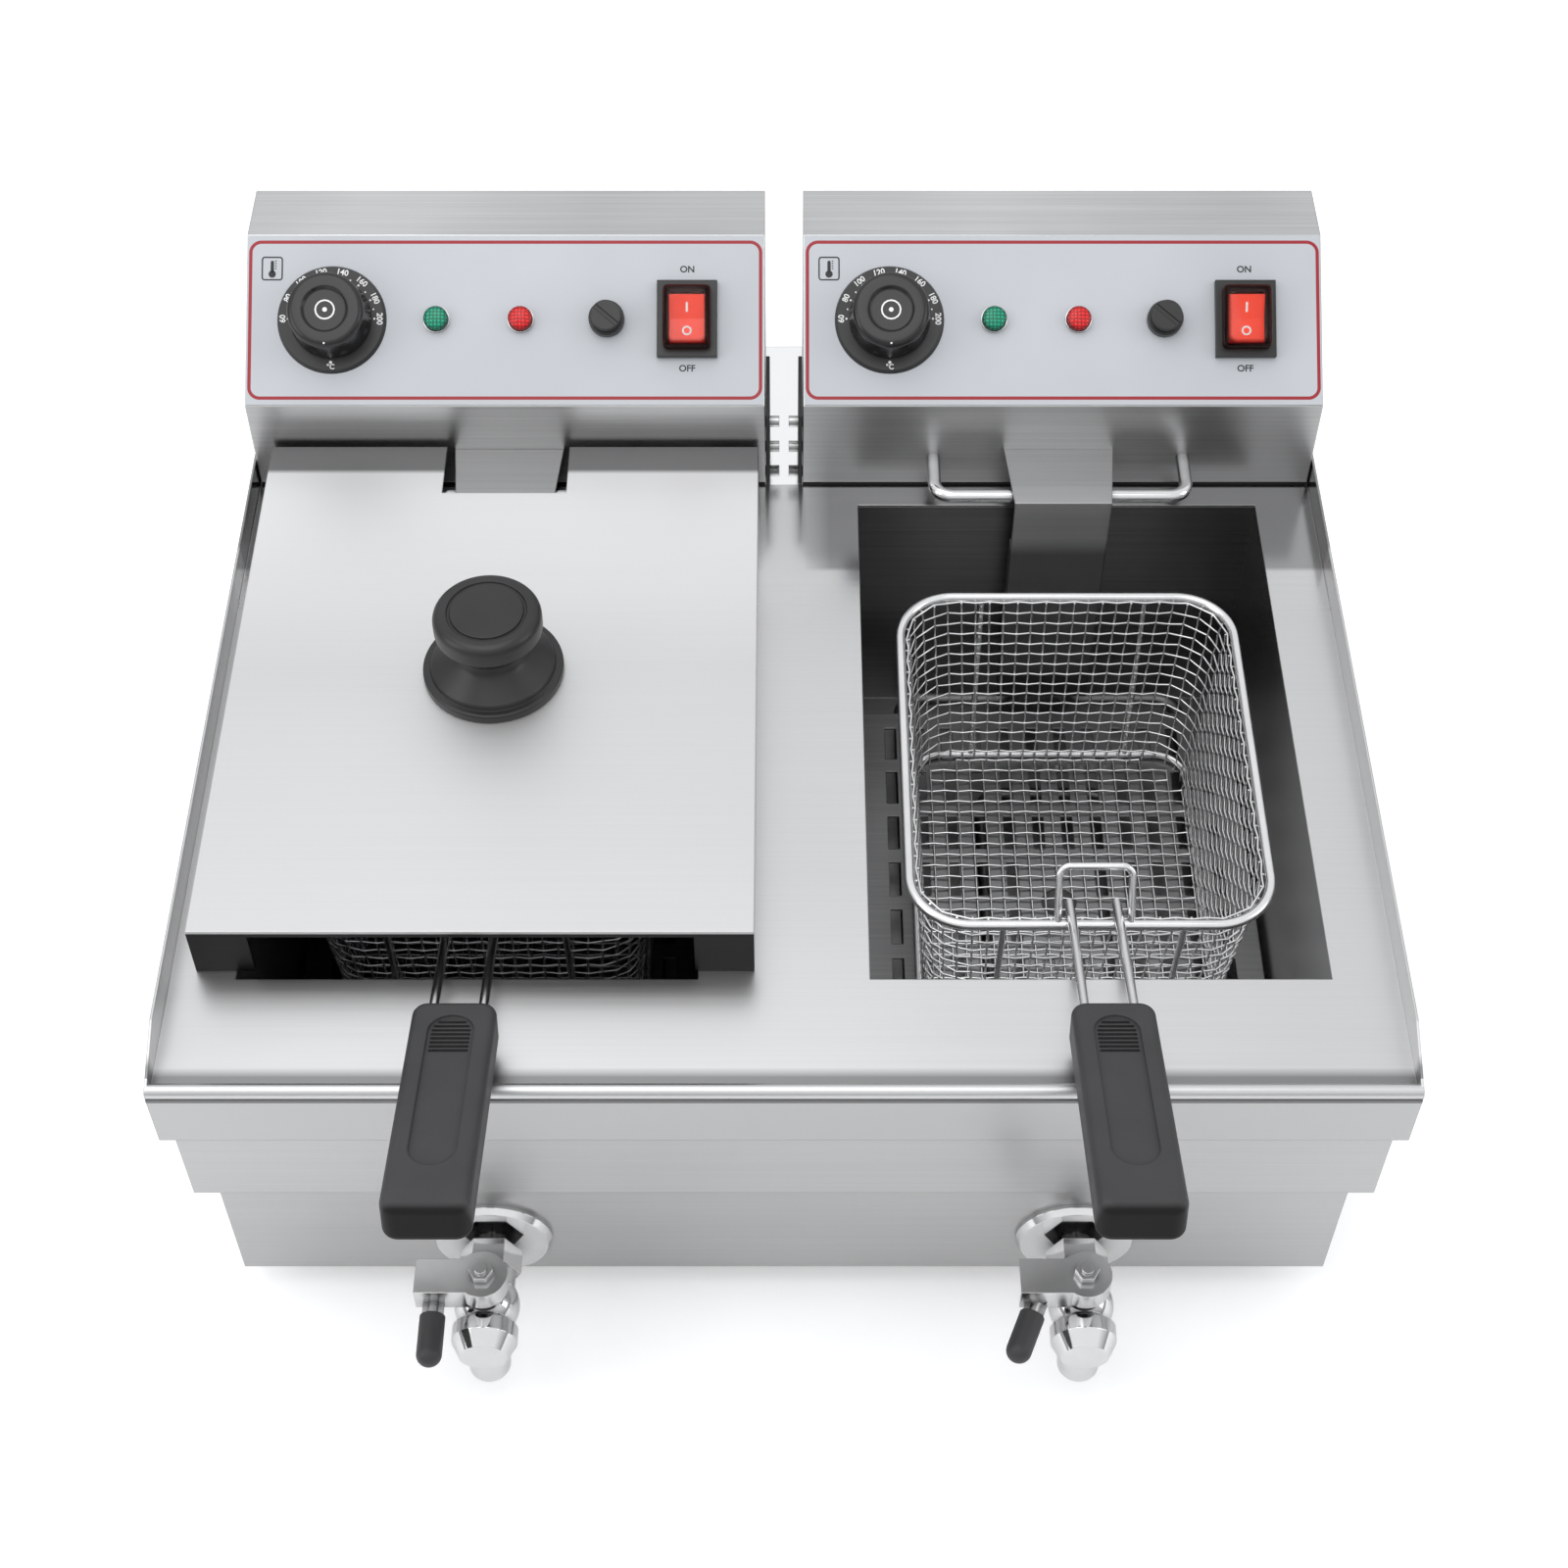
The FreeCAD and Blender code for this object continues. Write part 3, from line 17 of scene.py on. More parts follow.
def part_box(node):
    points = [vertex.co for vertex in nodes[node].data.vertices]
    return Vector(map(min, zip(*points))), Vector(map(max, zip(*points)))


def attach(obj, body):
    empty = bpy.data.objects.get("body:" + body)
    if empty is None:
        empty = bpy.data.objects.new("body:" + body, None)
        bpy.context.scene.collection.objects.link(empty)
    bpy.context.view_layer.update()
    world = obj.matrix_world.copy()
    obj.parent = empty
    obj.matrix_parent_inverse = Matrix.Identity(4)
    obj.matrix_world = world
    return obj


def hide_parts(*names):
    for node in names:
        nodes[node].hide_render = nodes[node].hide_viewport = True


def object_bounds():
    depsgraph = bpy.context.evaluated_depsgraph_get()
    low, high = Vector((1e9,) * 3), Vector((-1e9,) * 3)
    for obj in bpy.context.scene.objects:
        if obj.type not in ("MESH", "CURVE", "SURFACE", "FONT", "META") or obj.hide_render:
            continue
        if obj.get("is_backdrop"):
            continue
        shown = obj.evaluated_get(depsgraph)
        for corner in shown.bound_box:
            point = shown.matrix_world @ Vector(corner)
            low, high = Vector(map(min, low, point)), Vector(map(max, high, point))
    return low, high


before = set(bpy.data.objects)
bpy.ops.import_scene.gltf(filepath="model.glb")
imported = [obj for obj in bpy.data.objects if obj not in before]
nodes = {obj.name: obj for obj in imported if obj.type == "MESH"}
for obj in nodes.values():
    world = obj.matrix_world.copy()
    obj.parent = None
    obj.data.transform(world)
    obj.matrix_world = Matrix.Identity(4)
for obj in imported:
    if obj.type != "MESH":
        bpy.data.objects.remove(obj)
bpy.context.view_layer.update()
SIDES = ("left", "right")
MM = 0.001

# %% [markdown]
# ## Camera
#
# A portrait of a counter-top machine looks down on it from standing height, over its front edge. A camera
# could be placed by eye. Here its lens, tilt and place were worked out from the vanishing lines of the
# deck, because only then do the tanks, the heads and the front all show as much of themselves as they
# should.

# %% Camera
CAMERA_LENS, SENSOR_W = 58.79, 36.0
CAMERA_PITCH = math.radians(39.06)
CAMERA_BEFORE, CAMERA_UP = 599.2 * MM, 1155.5 * MM
DECK_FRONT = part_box("deck")[0].y
camera_data = bpy.data.cameras.new("portrait_camera")
camera_data.lens = CAMERA_LENS
camera_data.sensor_width = SENSOR_W
camera = bpy.data.objects.new("portrait_camera", camera_data)
camera.location = (0, DECK_FRONT - CAMERA_BEFORE, CAMERA_UP)
camera.rotation_euler = (CAMERA_PITCH, 0, 0)
bpy.context.scene.collection.objects.link(camera)
bpy.context.scene.camera = camera
print("camera", tuple(camera.location))

# %% [markdown]
# ## Floor
#
# The fryer stands on a wide sheet of studio paper, which catches its faint shadow. A plane is enough,
# because the sheet is only seen from above. An operator acts on all that is selected, and loading leaves
# every solid selected, so a small helper first deselects everything.

# %% Floor
FLOOR_W = 8


def deselect_all():
    """Nothing is selected, so that an operator only reaches what comes next."""
    bpy.ops.object.select_all(action="DESELECT")


deselect_all()
bpy.ops.mesh.primitive_plane_add(size=FLOOR_W)
floor = bpy.context.active_object
floor.name = "studio_floor"
floor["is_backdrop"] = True
print("floor", tuple(floor.dimensions))

# %% [markdown]
# ## Soft light panels
#
# Sheet steel looks like steel only when it has broad, even things to mirror. Small lamps would leave hard
# white dots on it. So the light comes from three large panels: one overhead, and a weaker one on each
# side, which shapes the round wires and taps.

# %% Soft light panels
LIT_SPOT = Vector((0, 0, 0.2))


def soft_panel(name, place, width, height, watts):
    """A large soft light at a place, turned to the middle of the fryer."""
    data = bpy.data.lights.new(name, "AREA")
    data.shape = "RECTANGLE"
    data.size = width
    data.size_y = height
    data.energy = watts
    panel = bpy.data.objects.new(name, data)
    panel.location = place
    panel.rotation_euler = (LIT_SPOT - Vector(place)).to_track_quat("-Z", "Y").to_euler()
    bpy.context.scene.collection.objects.link(panel)
    print("lit by", name, watts, "W")


soft_panel("top_panel", place=(-0.3, -0.1, 1.9), width=1.6, height=1.2, watts=8)
soft_panel("left_panel", place=(-1.7, -0.6, 1.1), width=0.9, height=1.4, watts=6)
soft_panel("right_panel", place=(1.8, -0.3, 1.0), width=0.7, height=1.3, watts=4)

# %% [markdown]
# ## Studio walls
#
# The picture's background is pure white, but steel that mirrors nothing but white looks like paper. A
# Light Path node gives the world two faces. The camera, and what is seen through clear plastic, gets
# white. Every other ray gets the walls of a studio, dim near the floor and bright above.

# %% Studio walls
WALL_FOOT, WALL_TOP, WALL_RISE = 0.3, 0.95, 0.55
WALL_TINT, WHITE = (0.97, 0.985, 1.0, 1), (1, 1, 1, 1)


def add_node(tree, kind, **settings):
    """Add a shader node and set its plain properties."""
    made = tree.nodes.new(kind)
    for key, setting in settings.items():
        setattr(made, key, setting)
    return made


def fill(node, **values):
    """Give a node's inputs plain values, by their names with an underscore for each space."""
    for key, setting in values.items():
        node.inputs[key.replace("_", " ")].default_value = setting
    return node


world = bpy.data.worlds.new("studio_world")
bpy.context.scene.world = world
bpy.context.scene.view_settings.view_transform = "Standard"
world.use_nodes = True
tree = world.node_tree
tree.nodes.clear()
rays = add_node(tree, "ShaderNodeLightPath").outputs
seen = add_node(tree, "ShaderNodeMath", operation="MAXIMUM")
tree.links.new(rays["Is Camera Ray"], seen.inputs[0])
tree.links.new(rays["Is Transmission Ray"], seen.inputs[1])
height = add_node(tree, "ShaderNodeSeparateXYZ")
tree.links.new(add_node(tree, "ShaderNodeTexCoord").outputs["Generated"], height.inputs[0])
rise = fill(add_node(tree, "ShaderNodeMapRange"), From_Min=0.0, From_Max=WALL_RISE)
fill(rise, To_Min=WALL_FOOT, To_Max=WALL_TOP)
tree.links.new(height.outputs["Z"], rise.inputs["Value"])
walls = fill(add_node(tree, "ShaderNodeBackground"), Color=WALL_TINT)
tree.links.new(rise.outputs["Result"], walls.inputs["Strength"])
backdrop = fill(add_node(tree, "ShaderNodeBackground"), Color=WHITE, Strength=1.0)
either = add_node(tree, "ShaderNodeMixShader")
for source, socket in zip((seen, walls, backdrop), either.inputs):
    tree.links.new(source.outputs[0], socket)
tree.links.new(either.outputs[0], add_node(tree, "ShaderNodeOutputWorld").inputs["Surface"])
print("world", world.name, "with", len(tree.nodes), "nodes")

# %% [markdown]
# ## Brushed streaks
#
# Sheet steel is brushed: it has long fine streaks, and broad patches where the brush pressed harder. A
# picture of steel would repeat and stretch. Noise that is drawn out along one axis never repeats, and it
# fits a sheet of any size. It is a node group with the stretch as an input, so each metal can be brushed
# its own way.

# %% Brushed streaks
def new_group(name, inputs, outputs):
    """An empty shader node group with named sockets, and both their ends inside it."""
    group = bpy.data.node_groups.new(name, "ShaderNodeTree")
    for label, kind in inputs.items():
        group.interface.new_socket(label, in_out="INPUT", socket_type=f"NodeSocket{kind}")
    for label in outputs:
        group.interface.new_socket(label, in_out="OUTPUT", socket_type="NodeSocketFloat")
    return group, group.nodes.new("NodeGroupInput").outputs, group.nodes.new("NodeGroupOutput").inputs


streak_inputs = {"Vector": "Vector", "Stretch": "Vector", "Patch Scale": "Float"}
brushed, gets, gives = new_group("brushed_streaks", streak_inputs, ["Streak", "Patch"])
stretch = add_node(brushed, "ShaderNodeVectorMath", operation="MULTIPLY")
streaks = fill(add_node(brushed, "ShaderNodeTexNoise"), Scale=1.0, Detail=5.0, Roughness=0.7)
patches = fill(add_node(brushed, "ShaderNodeTexNoise"), Detail=2.0)
brushed.links.new(gets["Vector"], stretch.inputs[0])
brushed.links.new(gets["Stretch"], stretch.inputs[1])
brushed.links.new(stretch.outputs[0], streaks.inputs["Vector"])
brushed.links.new(gets["Vector"], patches.inputs["Vector"])
brushed.links.new(gets["Patch Scale"], patches.inputs["Scale"])
brushed.links.new(streaks.outputs["Fac"], gives["Streak"])
brushed.links.new(patches.outputs["Fac"], gives["Patch"])
print("effect", brushed.name)

# %% [markdown]
# ## Moulded grain
#
# Plastic and rubber take the fine grain of their mould, and their gloss is never quite even. Both are
# noise, one fine and one coarse, so a second group has the same two textures for every moulded piece,
# print and film.

# %% Moulded grain
grain_inputs = {"Vector": "Vector", "Grain Scale": "Float", "Patch Scale": "Float"}
grain, gets, gives = new_group("moulded_grain", grain_inputs, ["Grain", "Patch"])
for label in ("Grain", "Patch"):
    noise = fill(add_node(grain, "ShaderNodeTexNoise"), Detail=3.0)
    grain.links.new(gets["Vector"], noise.inputs["Vector"])
    grain.links.new(gets[f"{label} Scale"], noise.inputs["Scale"])
    grain.links.new(noise.outputs["Fac"], gives[label])
print("effect", grain.name)

# %% [markdown]
# ## A finish
#
# A finish is a material whose colour and gloss change over the surface, as on every real thing. Two dozen
# of them, wired socket by socket, would be long to read. So a small class keeps a material with its shader
# and its Object coordinates, and has one word for each thing that is done often.

# %% A finish
class Finish:
    """A material with its shader and its coordinates, and short ways to make values over its surface."""

    def __init__(self, name, metallic=0.0):
        self.material = bpy.data.materials.new(name)
        self.material.use_nodes = True
        self.tree = self.material.node_tree
        self.shader = self.tree.nodes["Principled BSDF"]
        self.place = add_node(self.tree, "ShaderNodeTexCoord").outputs["Object"]
        self.feed(Metallic=metallic)

    def link(self, source, socket):
        """Join an output to an input, or give the input a plain number or colour."""
        if isinstance(source, (int, float)):
            socket.default_value = source
        elif isinstance(source, tuple):
            socket.default_value = (*source, 1)
        else:
            self.tree.links.new(source, socket)

    def feed(self, **sources):
        """Link what the shader gets, by the names of its inputs."""
        for key, source in sources.items():
            self.link(source, self.shader.inputs[key.replace("_", " ")])

    def effect(self, group, **values):
        """Place a shared effect with its own values, and return what it puts out."""
        made = fill(add_node(self.tree, "ShaderNodeGroup", node_tree=group), **values)
        self.link(self.place, made.inputs["Vector"])
        return made.outputs

    def axis(self, letter):
        """One coordinate of the surface."""
        split = add_node(self.tree, "ShaderNodeSeparateXYZ")
        self.link(self.place, split.inputs[0])
        return split.outputs[letter]

    def maths(self, operation, *terms):
        """One step of arithmetic on values and plain numbers."""
        made = add_node(self.tree, "ShaderNodeMath", operation=operation)
        for socket, term in zip(made.inputs, terms):
            self.link(term, socket)
        return made.outputs[0]

    def between(self, amount, first, last, start=0.3, end=0.7):
        """A value that goes from first to last as the amount goes from start to end, which noise does."""
        ramp = fill(add_node(self.tree, "ShaderNodeMapRange"), From_Min=start, From_Max=end)
        fill(ramp, To_Min=first, To_Max=last)
        self.link(amount, ramp.inputs["Value"])
        return ramp.outputs["Result"]

    def blend(self, amount, first, second):
        """A colour between two others."""
        mixer = add_node(self.tree, "ShaderNodeMix", data_type="RGBA")
        for label, source in (("Factor", amount), ("A", first), ("B", second)):
            self.link(source, mixer.inputs[label])
        return mixer.outputs["Result"]


print("finishes use", brushed.name, "and", grain.name)

# %% [markdown]
# ## Brushed steel
#
# The casing, deck, lid, heads and tanks are one grade of stainless steel, brushed from left to right. They
# differ in how light and how smooth they are, so one function makes them all. The tanks and the strainers
# get dark greys, a painted shade of the inside of the tanks. Real sheet has no knife edge, and rounding
# every edge of a solid is slow, so a Bevel node rounds the edges in the shading alone.

# %% Brushed steel
ALONG_X, EVEN = (4, 700, 700), (60, 60, 60)
STREAK_DEPTH, STEEL_WARMTH, BEVEL_SAMPLES = 0.4 * MM, 0.997, 6


def grey(level):
    """A colour without a hue."""
    return (level, level, level)


def relief(finish, height, strength, distance, edge):
    """Bump from a value, over edges that are rounded off in the shading."""
    bump = fill(add_node(finish.tree, "ShaderNodeBump"), Strength=strength, Distance=distance)
    finish.link(height, bump.inputs["Height"])
    if edge:
        rounded = fill(add_node(finish.tree, "ShaderNodeBevel", samples=BEVEL_SAMPLES), Radius=edge)
        finish.link(rounded.outputs["Normal"], bump.inputs["Normal"])
    finish.feed(Normal=bump.outputs["Normal"])


def brushed_metal(name, shade, rough, brush, bump=0.05, edge=0.9 * MM, patch=5.0):
    """Metal brushed one way, between two greys and two roughnesses."""
    dark, light = shade
    finish = Finish(name, metallic=1.0)
    effect = finish.effect(brushed, Stretch=brush, Patch_Scale=patch)
    half_patch = finish.maths("MULTIPLY", effect["Patch"], 0.5)
    both = finish.maths("MULTIPLY_ADD", effect["Streak"], 0.5, half_patch)
    colour = finish.blend(finish.between(both, 0, 1), grey(dark), (light, light, light * STEEL_WARMTH))
    finish.feed(Base_Color=colour, Roughness=finish.between(both, *rough))
    relief(finish, effect["Streak"], bump, STREAK_DEPTH, edge)
    return finish


deck_steel = brushed_metal("satin_deck_steel", (0.62, 0.69), (0.3, 0.38), ALONG_X, bump=0.03)
lid_steel = brushed_metal("satin_lid_steel", (0.64, 0.7), (0.46, 0.56), ALONG_X, bump=0.025)
casing_steel = brushed_metal("brushed_casing_steel", (0.5, 0.6), (0.3, 0.42), ALONG_X, bump=0.04)
head_steel = brushed_metal("brushed_head_steel", (0.46, 0.72), (0.28, 0.4), ALONG_X, patch=7.0)
riser_steel = brushed_metal("brushed_riser_steel", (0.42, 0.54), (0.28, 0.4), ALONG_X)
# painted shade: the tanks and the strainers are given dark greys, as they stand in the shade inside the
# tanks
tank_steel = brushed_metal("pressed_tank_steel", (0.17, 0.31), (0.26, 0.4), ALONG_X)
strainer_steel = brushed_metal("shaded_strainer_steel", (0.18, 0.29), (0.26, 0.4), ALONG_X)
print("sheet metals", len(bpy.data.materials))

# %% [markdown]
# ## Polished and heated metal
#
# The taps, rests and wires are plated and polished, and the element's tube is dull from heat. The same
# function makes them, with an even brush and thin edges. Polished metal looks black in its corners, where
# it mirrors only itself. Many bounces of light would show that, but an Ambient Occlusion node paints it at
# once.

# %% Polished and heated metal
THIN_EDGE, POLISH_BUMP = 0.5 * MM, 0.02
CORNER_REACH, CORNER_GREY, CORNER_SAMPLES = 14 * MM, grey(0.1), 8
CORNER_SHUT, CORNER_OPEN = 0.2, 0.85


def overpaint(finish, mask, colour):
    """Paint another colour over the base where a mask is 1."""
    socket = finish.shader.inputs["Base Color"]
    finish.feed(Base_Color=finish.blend(mask, socket.links[0].from_socket, colour))


def shade_corners(finish):
    """Darken the base in corners and narrow gaps."""
    shade = add_node(finish.tree, "ShaderNodeAmbientOcclusion", samples=CORNER_SAMPLES)
    fill(shade, Distance=CORNER_REACH)
    overpaint(finish, finish.between(shade.outputs["AO"], 1, 0, CORNER_SHUT, CORNER_OPEN), CORNER_GREY)


lever_steel = brushed_metal("bright_lever_steel", (0.64, 0.8), (0.16, 0.26), EVEN, POLISH_BUMP, THIN_EDGE)
plating = brushed_metal("polished_plating", (0.74, 0.84), (0.06, 0.13), EVEN, POLISH_BUMP, THIN_EDGE)
wire_metal = brushed_metal("bright_basket_wire", (0.74, 0.88), (0.14, 0.26), EVEN, POLISH_BUMP, None)
heater_metal = brushed_metal("heat_stained_tube", (0.14, 0.28), (0.35, 0.5), EVEN, edge=None)
shade_corners(plating)
shade_corners(lever_steel)
print("metals", len(bpy.data.materials))

# %% [markdown]
# ## The lid's shade
#
# The lid's front is open, with a folded tab at each corner that stands in the lid's own shadow. Its top
# grows brighter to the back, a painted reflection of the pale panel, and ends in a dark band, where it
# mirrors the front of the head. Other materials would need faces of their own. Masks made from the
# coordinates paint this light and shade over the base instead.

# %% The lid's shade
LIP, TAB_GREY = 1.6 * MM, grey(0.035)
BRIGHT_SHARE, BRIGHT_END, BRIGHT_GREY = 0.6, 40 * MM, grey(0.97)
BAND_START, BAND_FULL, BAND_GREY = 20 * MM, 17 * MM, grey(0.24)

lid_low, lid_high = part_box("lid")
lid_y = lid_steel.axis("Y")
under_lip = lid_steel.maths("LESS_THAN", lid_steel.axis("Z"), lid_high.z - LIP)
at_front = lid_steel.maths("LESS_THAN", lid_y, lid_low.y + LIP)
overpaint(lid_steel, lid_steel.maths("MULTIPLY", under_lip, at_front), TAB_GREY)
lid_middle = (lid_low.y + lid_high.y) / 2
# painted reflection: the top grows lighter towards the back, as it mirrors the pale panel
brighter = lid_steel.between(lid_y, 0, BRIGHT_SHARE, lid_middle, lid_high.y - BRIGHT_END)
overpaint(lid_steel, brighter, BRIGHT_GREY)
band = lid_steel.between(lid_y, 0, 1, lid_high.y - BAND_START, lid_high.y - BAND_FULL)
overpaint(lid_steel, band, BAND_GREY)
print("lid shaded from y", lid_middle, "to", lid_high.y)

# %% [markdown]
# ## The deck's bend and bead
#
# The deck bends down to a bead along its front edge. The bend turns away from the light, so it is a dark
# stripe, with another line under the bead and a duller skirt below. The solid has the form, but the soft
# light of the studio leaves its stripes too faint, so the same kind of masks paints them.

# %% The deck's bend and bead
BEAD_DEPTH, BEND_DEPTH, BEAD_BELOW = 7 * MM, 10 * MM, 3.5 * MM
LINE_BELOW, SKIRT_BELOW = 0.2 * BEAD_BELOW, 1.2 * BEAD_BELOW
BEND_GREY, LINE_GREY, SKIRT_GREY = grey(0.26), grey(0.2), grey(0.54)

head_low, head_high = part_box("left_head_housing")
deck_y, deck_z = deck_steel.axis("Y"), deck_steel.axis("Z")
bend_back = DECK_FRONT + BEAD_DEPTH + BEND_DEPTH
bend = deck_steel.between(deck_y, 1, 0, bend_back - BEND_DEPTH / 2, bend_back)
behind_bead = deck_steel.maths("GREATER_THAN", deck_y, DECK_FRONT + BEAD_DEPTH)
overpaint(deck_steel, deck_steel.maths("MULTIPLY", bend, behind_bead), BEND_GREY)
below = deck_steel.maths("LESS_THAN", deck_z, head_low.z - LINE_BELOW)
in_front = deck_steel.maths("LESS_THAN", deck_y, DECK_FRONT + BEAD_DEPTH / 2)
overpaint(deck_steel, deck_steel.maths("MULTIPLY", below, in_front), LINE_GREY)
overpaint(deck_steel, deck_steel.maths("LESS_THAN", deck_z, head_low.z - SKIRT_BELOW), SKIRT_GREY)
print("deck bends from y", DECK_FRONT, "to", bend_back)

# %% [markdown]
# ## The deck before the heads
#
# Near the heads the deck is smoother, and it mirrors their dark fronts. Between the heads no brush reaches
# it, and it keeps a smooth mill polish, with a painted reflection of the bright studio that makes it nearly
# white. A clearer mirror alone would show every knob upside down, so the steel gets a little smoother, and
# the shade of the heads is painted on both sides of the gap.

# %% The deck before the heads
SHADE_START, SHADE_FULL, SHADE_GREY = 64 * MM, 61 * MM, grey(0.36)
GAP_CLEAR, GAP_SIDE, GAP_REFLECTION_GREY = 10 * MM, 24 * MM, grey(0.97)
SMOOTH_START, SMOOTH_FULL, SMOOTH_SHARE = 100 * MM, 70 * MM, 0.6
POLISH_SHARE = 0.75


def polish(finish, mask, share):
    """Take a share of the roughness away where a mask is 1."""
    rough = finish.shader.inputs["Roughness"].links[0].from_socket
    finish.feed(Roughness=finish.maths("MULTIPLY", rough, finish.maths("MULTIPLY_ADD", mask, -share, 1.0)))


deck_x = deck_steel.axis("X")
beside_gap = deck_steel.between(deck_steel.maths("ABSOLUTE", deck_x), 0, 1, GAP_CLEAR, GAP_SIDE)
head_shade = deck_steel.between(deck_y, 0, 1, head_low.y - SHADE_START, head_low.y - SHADE_FULL)
overpaint(deck_steel, deck_steel.maths("MULTIPLY", beside_gap, head_shade), SHADE_GREY)
gap_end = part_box("right_head_housing")[0].x
gap_middle, gap_half = (head_high.x + gap_end) / 2, (gap_end - head_high.x) / 2
in_gap = deck_steel.maths("COMPARE", deck_x, gap_middle, gap_half)
gap_floor = deck_steel.maths("MULTIPLY", in_gap, deck_steel.maths("GREATER_THAN", deck_y, head_low.y))
# painted reflection: the deck between the heads is painted nearly white, as it mirrors the bright studio
overpaint(deck_steel, gap_floor, GAP_REFLECTION_GREY)
smoother = deck_steel.between(deck_y, 0, SMOOTH_SHARE, head_low.y - SMOOTH_START, head_low.y - SMOOTH_FULL)
polish(deck_steel, deck_steel.maths("MAXIMUM", gap_floor, smoother), POLISH_SHARE)
print("gap between the heads", 2 * gap_half / MM, "mm")

# %% [markdown]
# ## Oil on the guards and in the tanks
#
# The guard of each element reaches down into its tank, and a painted shade darkens it below the deck. The
# tanks' steel, painted dark as shade, is lighter towards the front. A soft ramp along one axis shows both.

# %% Shade on the guards and in the tanks
RISER_SHADE_FULL, RISER_SHADE_END, RISER_SHADE_GREY = 14 * MM, 2 * MM, grey(0.17)
TANK_FRONT_SHARE, TANK_FRONT_GREY = 0.95, grey(0.7)

riser_z = riser_steel.axis("Z")
# painted shade: the guard grows darker below the deck, inside its tank
riser_shade = riser_steel.between(riser_z, 1, 0, head_low.z - RISER_SHADE_FULL, head_low.z - RISER_SHADE_END)
overpaint(riser_steel, riser_shade, RISER_SHADE_GREY)
tank_low, tank_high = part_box("right_tank")
# the tanks' dark steel, a painted shade, is painted lighter towards the front
lighter_front = tank_steel.between(tank_steel.axis("Y"), TANK_FRONT_SHARE, 0, tank_low.y, tank_high.y)
overpaint(tank_steel, lighter_front, TANK_FRONT_GREY)
print("riser shade line", (head_low.z - RISER_SHADE_END) / MM, "mm up")

# %% [markdown]
# ## Plastics, rubber and inks
#
# The dials, caps and bezels are black mouldings, the feet and seals are rubber, and the rockers are red
# and lit a little from inside. They differ in colour, gloss and grain, so one function makes them, and the
# inks too.

# %% Plastics, rubber and inks
MOULD_PATCH, GRAIN_DEPTH = 30.0, 0.2 * MM


def moulded(name, dark, light, rough, bump=0.15, grain_scale=1800.0, edge=0.8 * MM):
    """Plastic, rubber or ink with a fine grain, between two colours and two roughnesses."""
    finish = Finish(name)
    effect = finish.effect(grain, Grain_Scale=grain_scale, Patch_Scale=MOULD_PATCH)
    colour = finish.blend(finish.between(effect["Patch"], 0, 1), dark, light)
    finish.feed(Base_Color=colour, Roughness=finish.between(effect["Patch"], *rough))
    relief(finish, effect["Grain"], bump, GRAIN_DEPTH, edge)
    return finish


black_plastic = moulded("black_moulding", grey(0.012), grey(0.02), (0.28, 0.4))
black_gloss = moulded("glossy_black_knob", grey(0.01), grey(0.016), (0.2, 0.3), bump=0.05)
rubber = moulded("black_rubber", grey(0.012), grey(0.022), (0.6, 0.75))
bracket_paint = moulded("black_bracket_paint", grey(0.014), grey(0.022), (0.35, 0.5))
red_plastic = moulded("red_rocker_plastic", (0.8, 0.03, 0.006), (0.9, 0.045, 0.009), (0.18, 0.26), bump=0.03)
red_plastic.feed(Emission_Color=(1.0, 0.05, 0.01), Emission_Strength=0.18)
flat_ink = {"rough": (0.4, 0.5), "bump": 0.02, "edge": None}
white_ink = moulded("white_print", grey(0.85), grey(0.92), **flat_ink)
black_ink = moulded("black_print", (0.008, 0.008, 0.009), (0.014, 0.014, 0.015), **flat_ink)
print("finishes", len(bpy.data.materials))

# %% [markdown]
# ## The grips' plastic
#
# The basket grips are dark grey with a coarser grain and soft edges. Their ends face the camera and look
# nearly black, as they are turned away from the light. The mask that darkens them also takes away most of
# their shine.

# %% The grips' plastic
END_DARK, END_SOFT, END_GREY = 5 * MM, 8 * MM, grey(0.012)
FULL_SHINE, END_SHINE = 0.5, 0.15

grip_plastic = moulded("dark_grey_grip", (0.03, 0.03, 0.031), (0.042, 0.042, 0.043), (0.45, 0.58),
                       bump=0.3, grain_scale=1300.0, edge=1.4 * MM)
grip_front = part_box("left_grip")[0].y
grip_end = grip_plastic.between(grip_plastic.axis("Y"), 1, 0, grip_front + END_DARK, grip_front + END_SOFT)
overpaint(grip_plastic, grip_end, END_GREY)
grip_plastic.feed(Specular_IOR_Level=grip_plastic.between(grip_end, FULL_SHINE, END_SHINE, 0, 1))
print("grips start at y", grip_front)

# %% [markdown]
# ## Floor paper
#
# A camera that is set for grey steel shows white paper as pure white. More light would bleach the steel as
# well, so the paper glows a little for the camera alone, and only a faint shadow is left under the fryer.

# %% Floor paper
PAPER_GLOW = 0.3

floor_paper = moulded("studio_paper", grey(0.95), grey(0.97), (0.8, 0.9), 0.0, grain_scale=50.0, edge=None)
camera_rays = add_node(floor_paper.tree, "ShaderNodeLightPath").outputs["Is Camera Ray"]
glow = floor_paper.maths("MULTIPLY", camera_rays, PAPER_GLOW)
floor_paper.feed(Emission_Color=grey(1), Emission_Strength=glow)
floor.data.materials.append(floor_paper.material)
print("floor wears", floor_paper.material.name)

# %% [markdown]
# ## The slope of the panels
#
# Each head has a printed panel on its slope, with the dial, the lamps, the cap and the switch in a row.
# Their places could be worked out one by one in the room. It is easier to lay them out flat, and let one
# matrix for each panel carry them up: its x runs along the row, its y up the slope and its z out of the
# film.

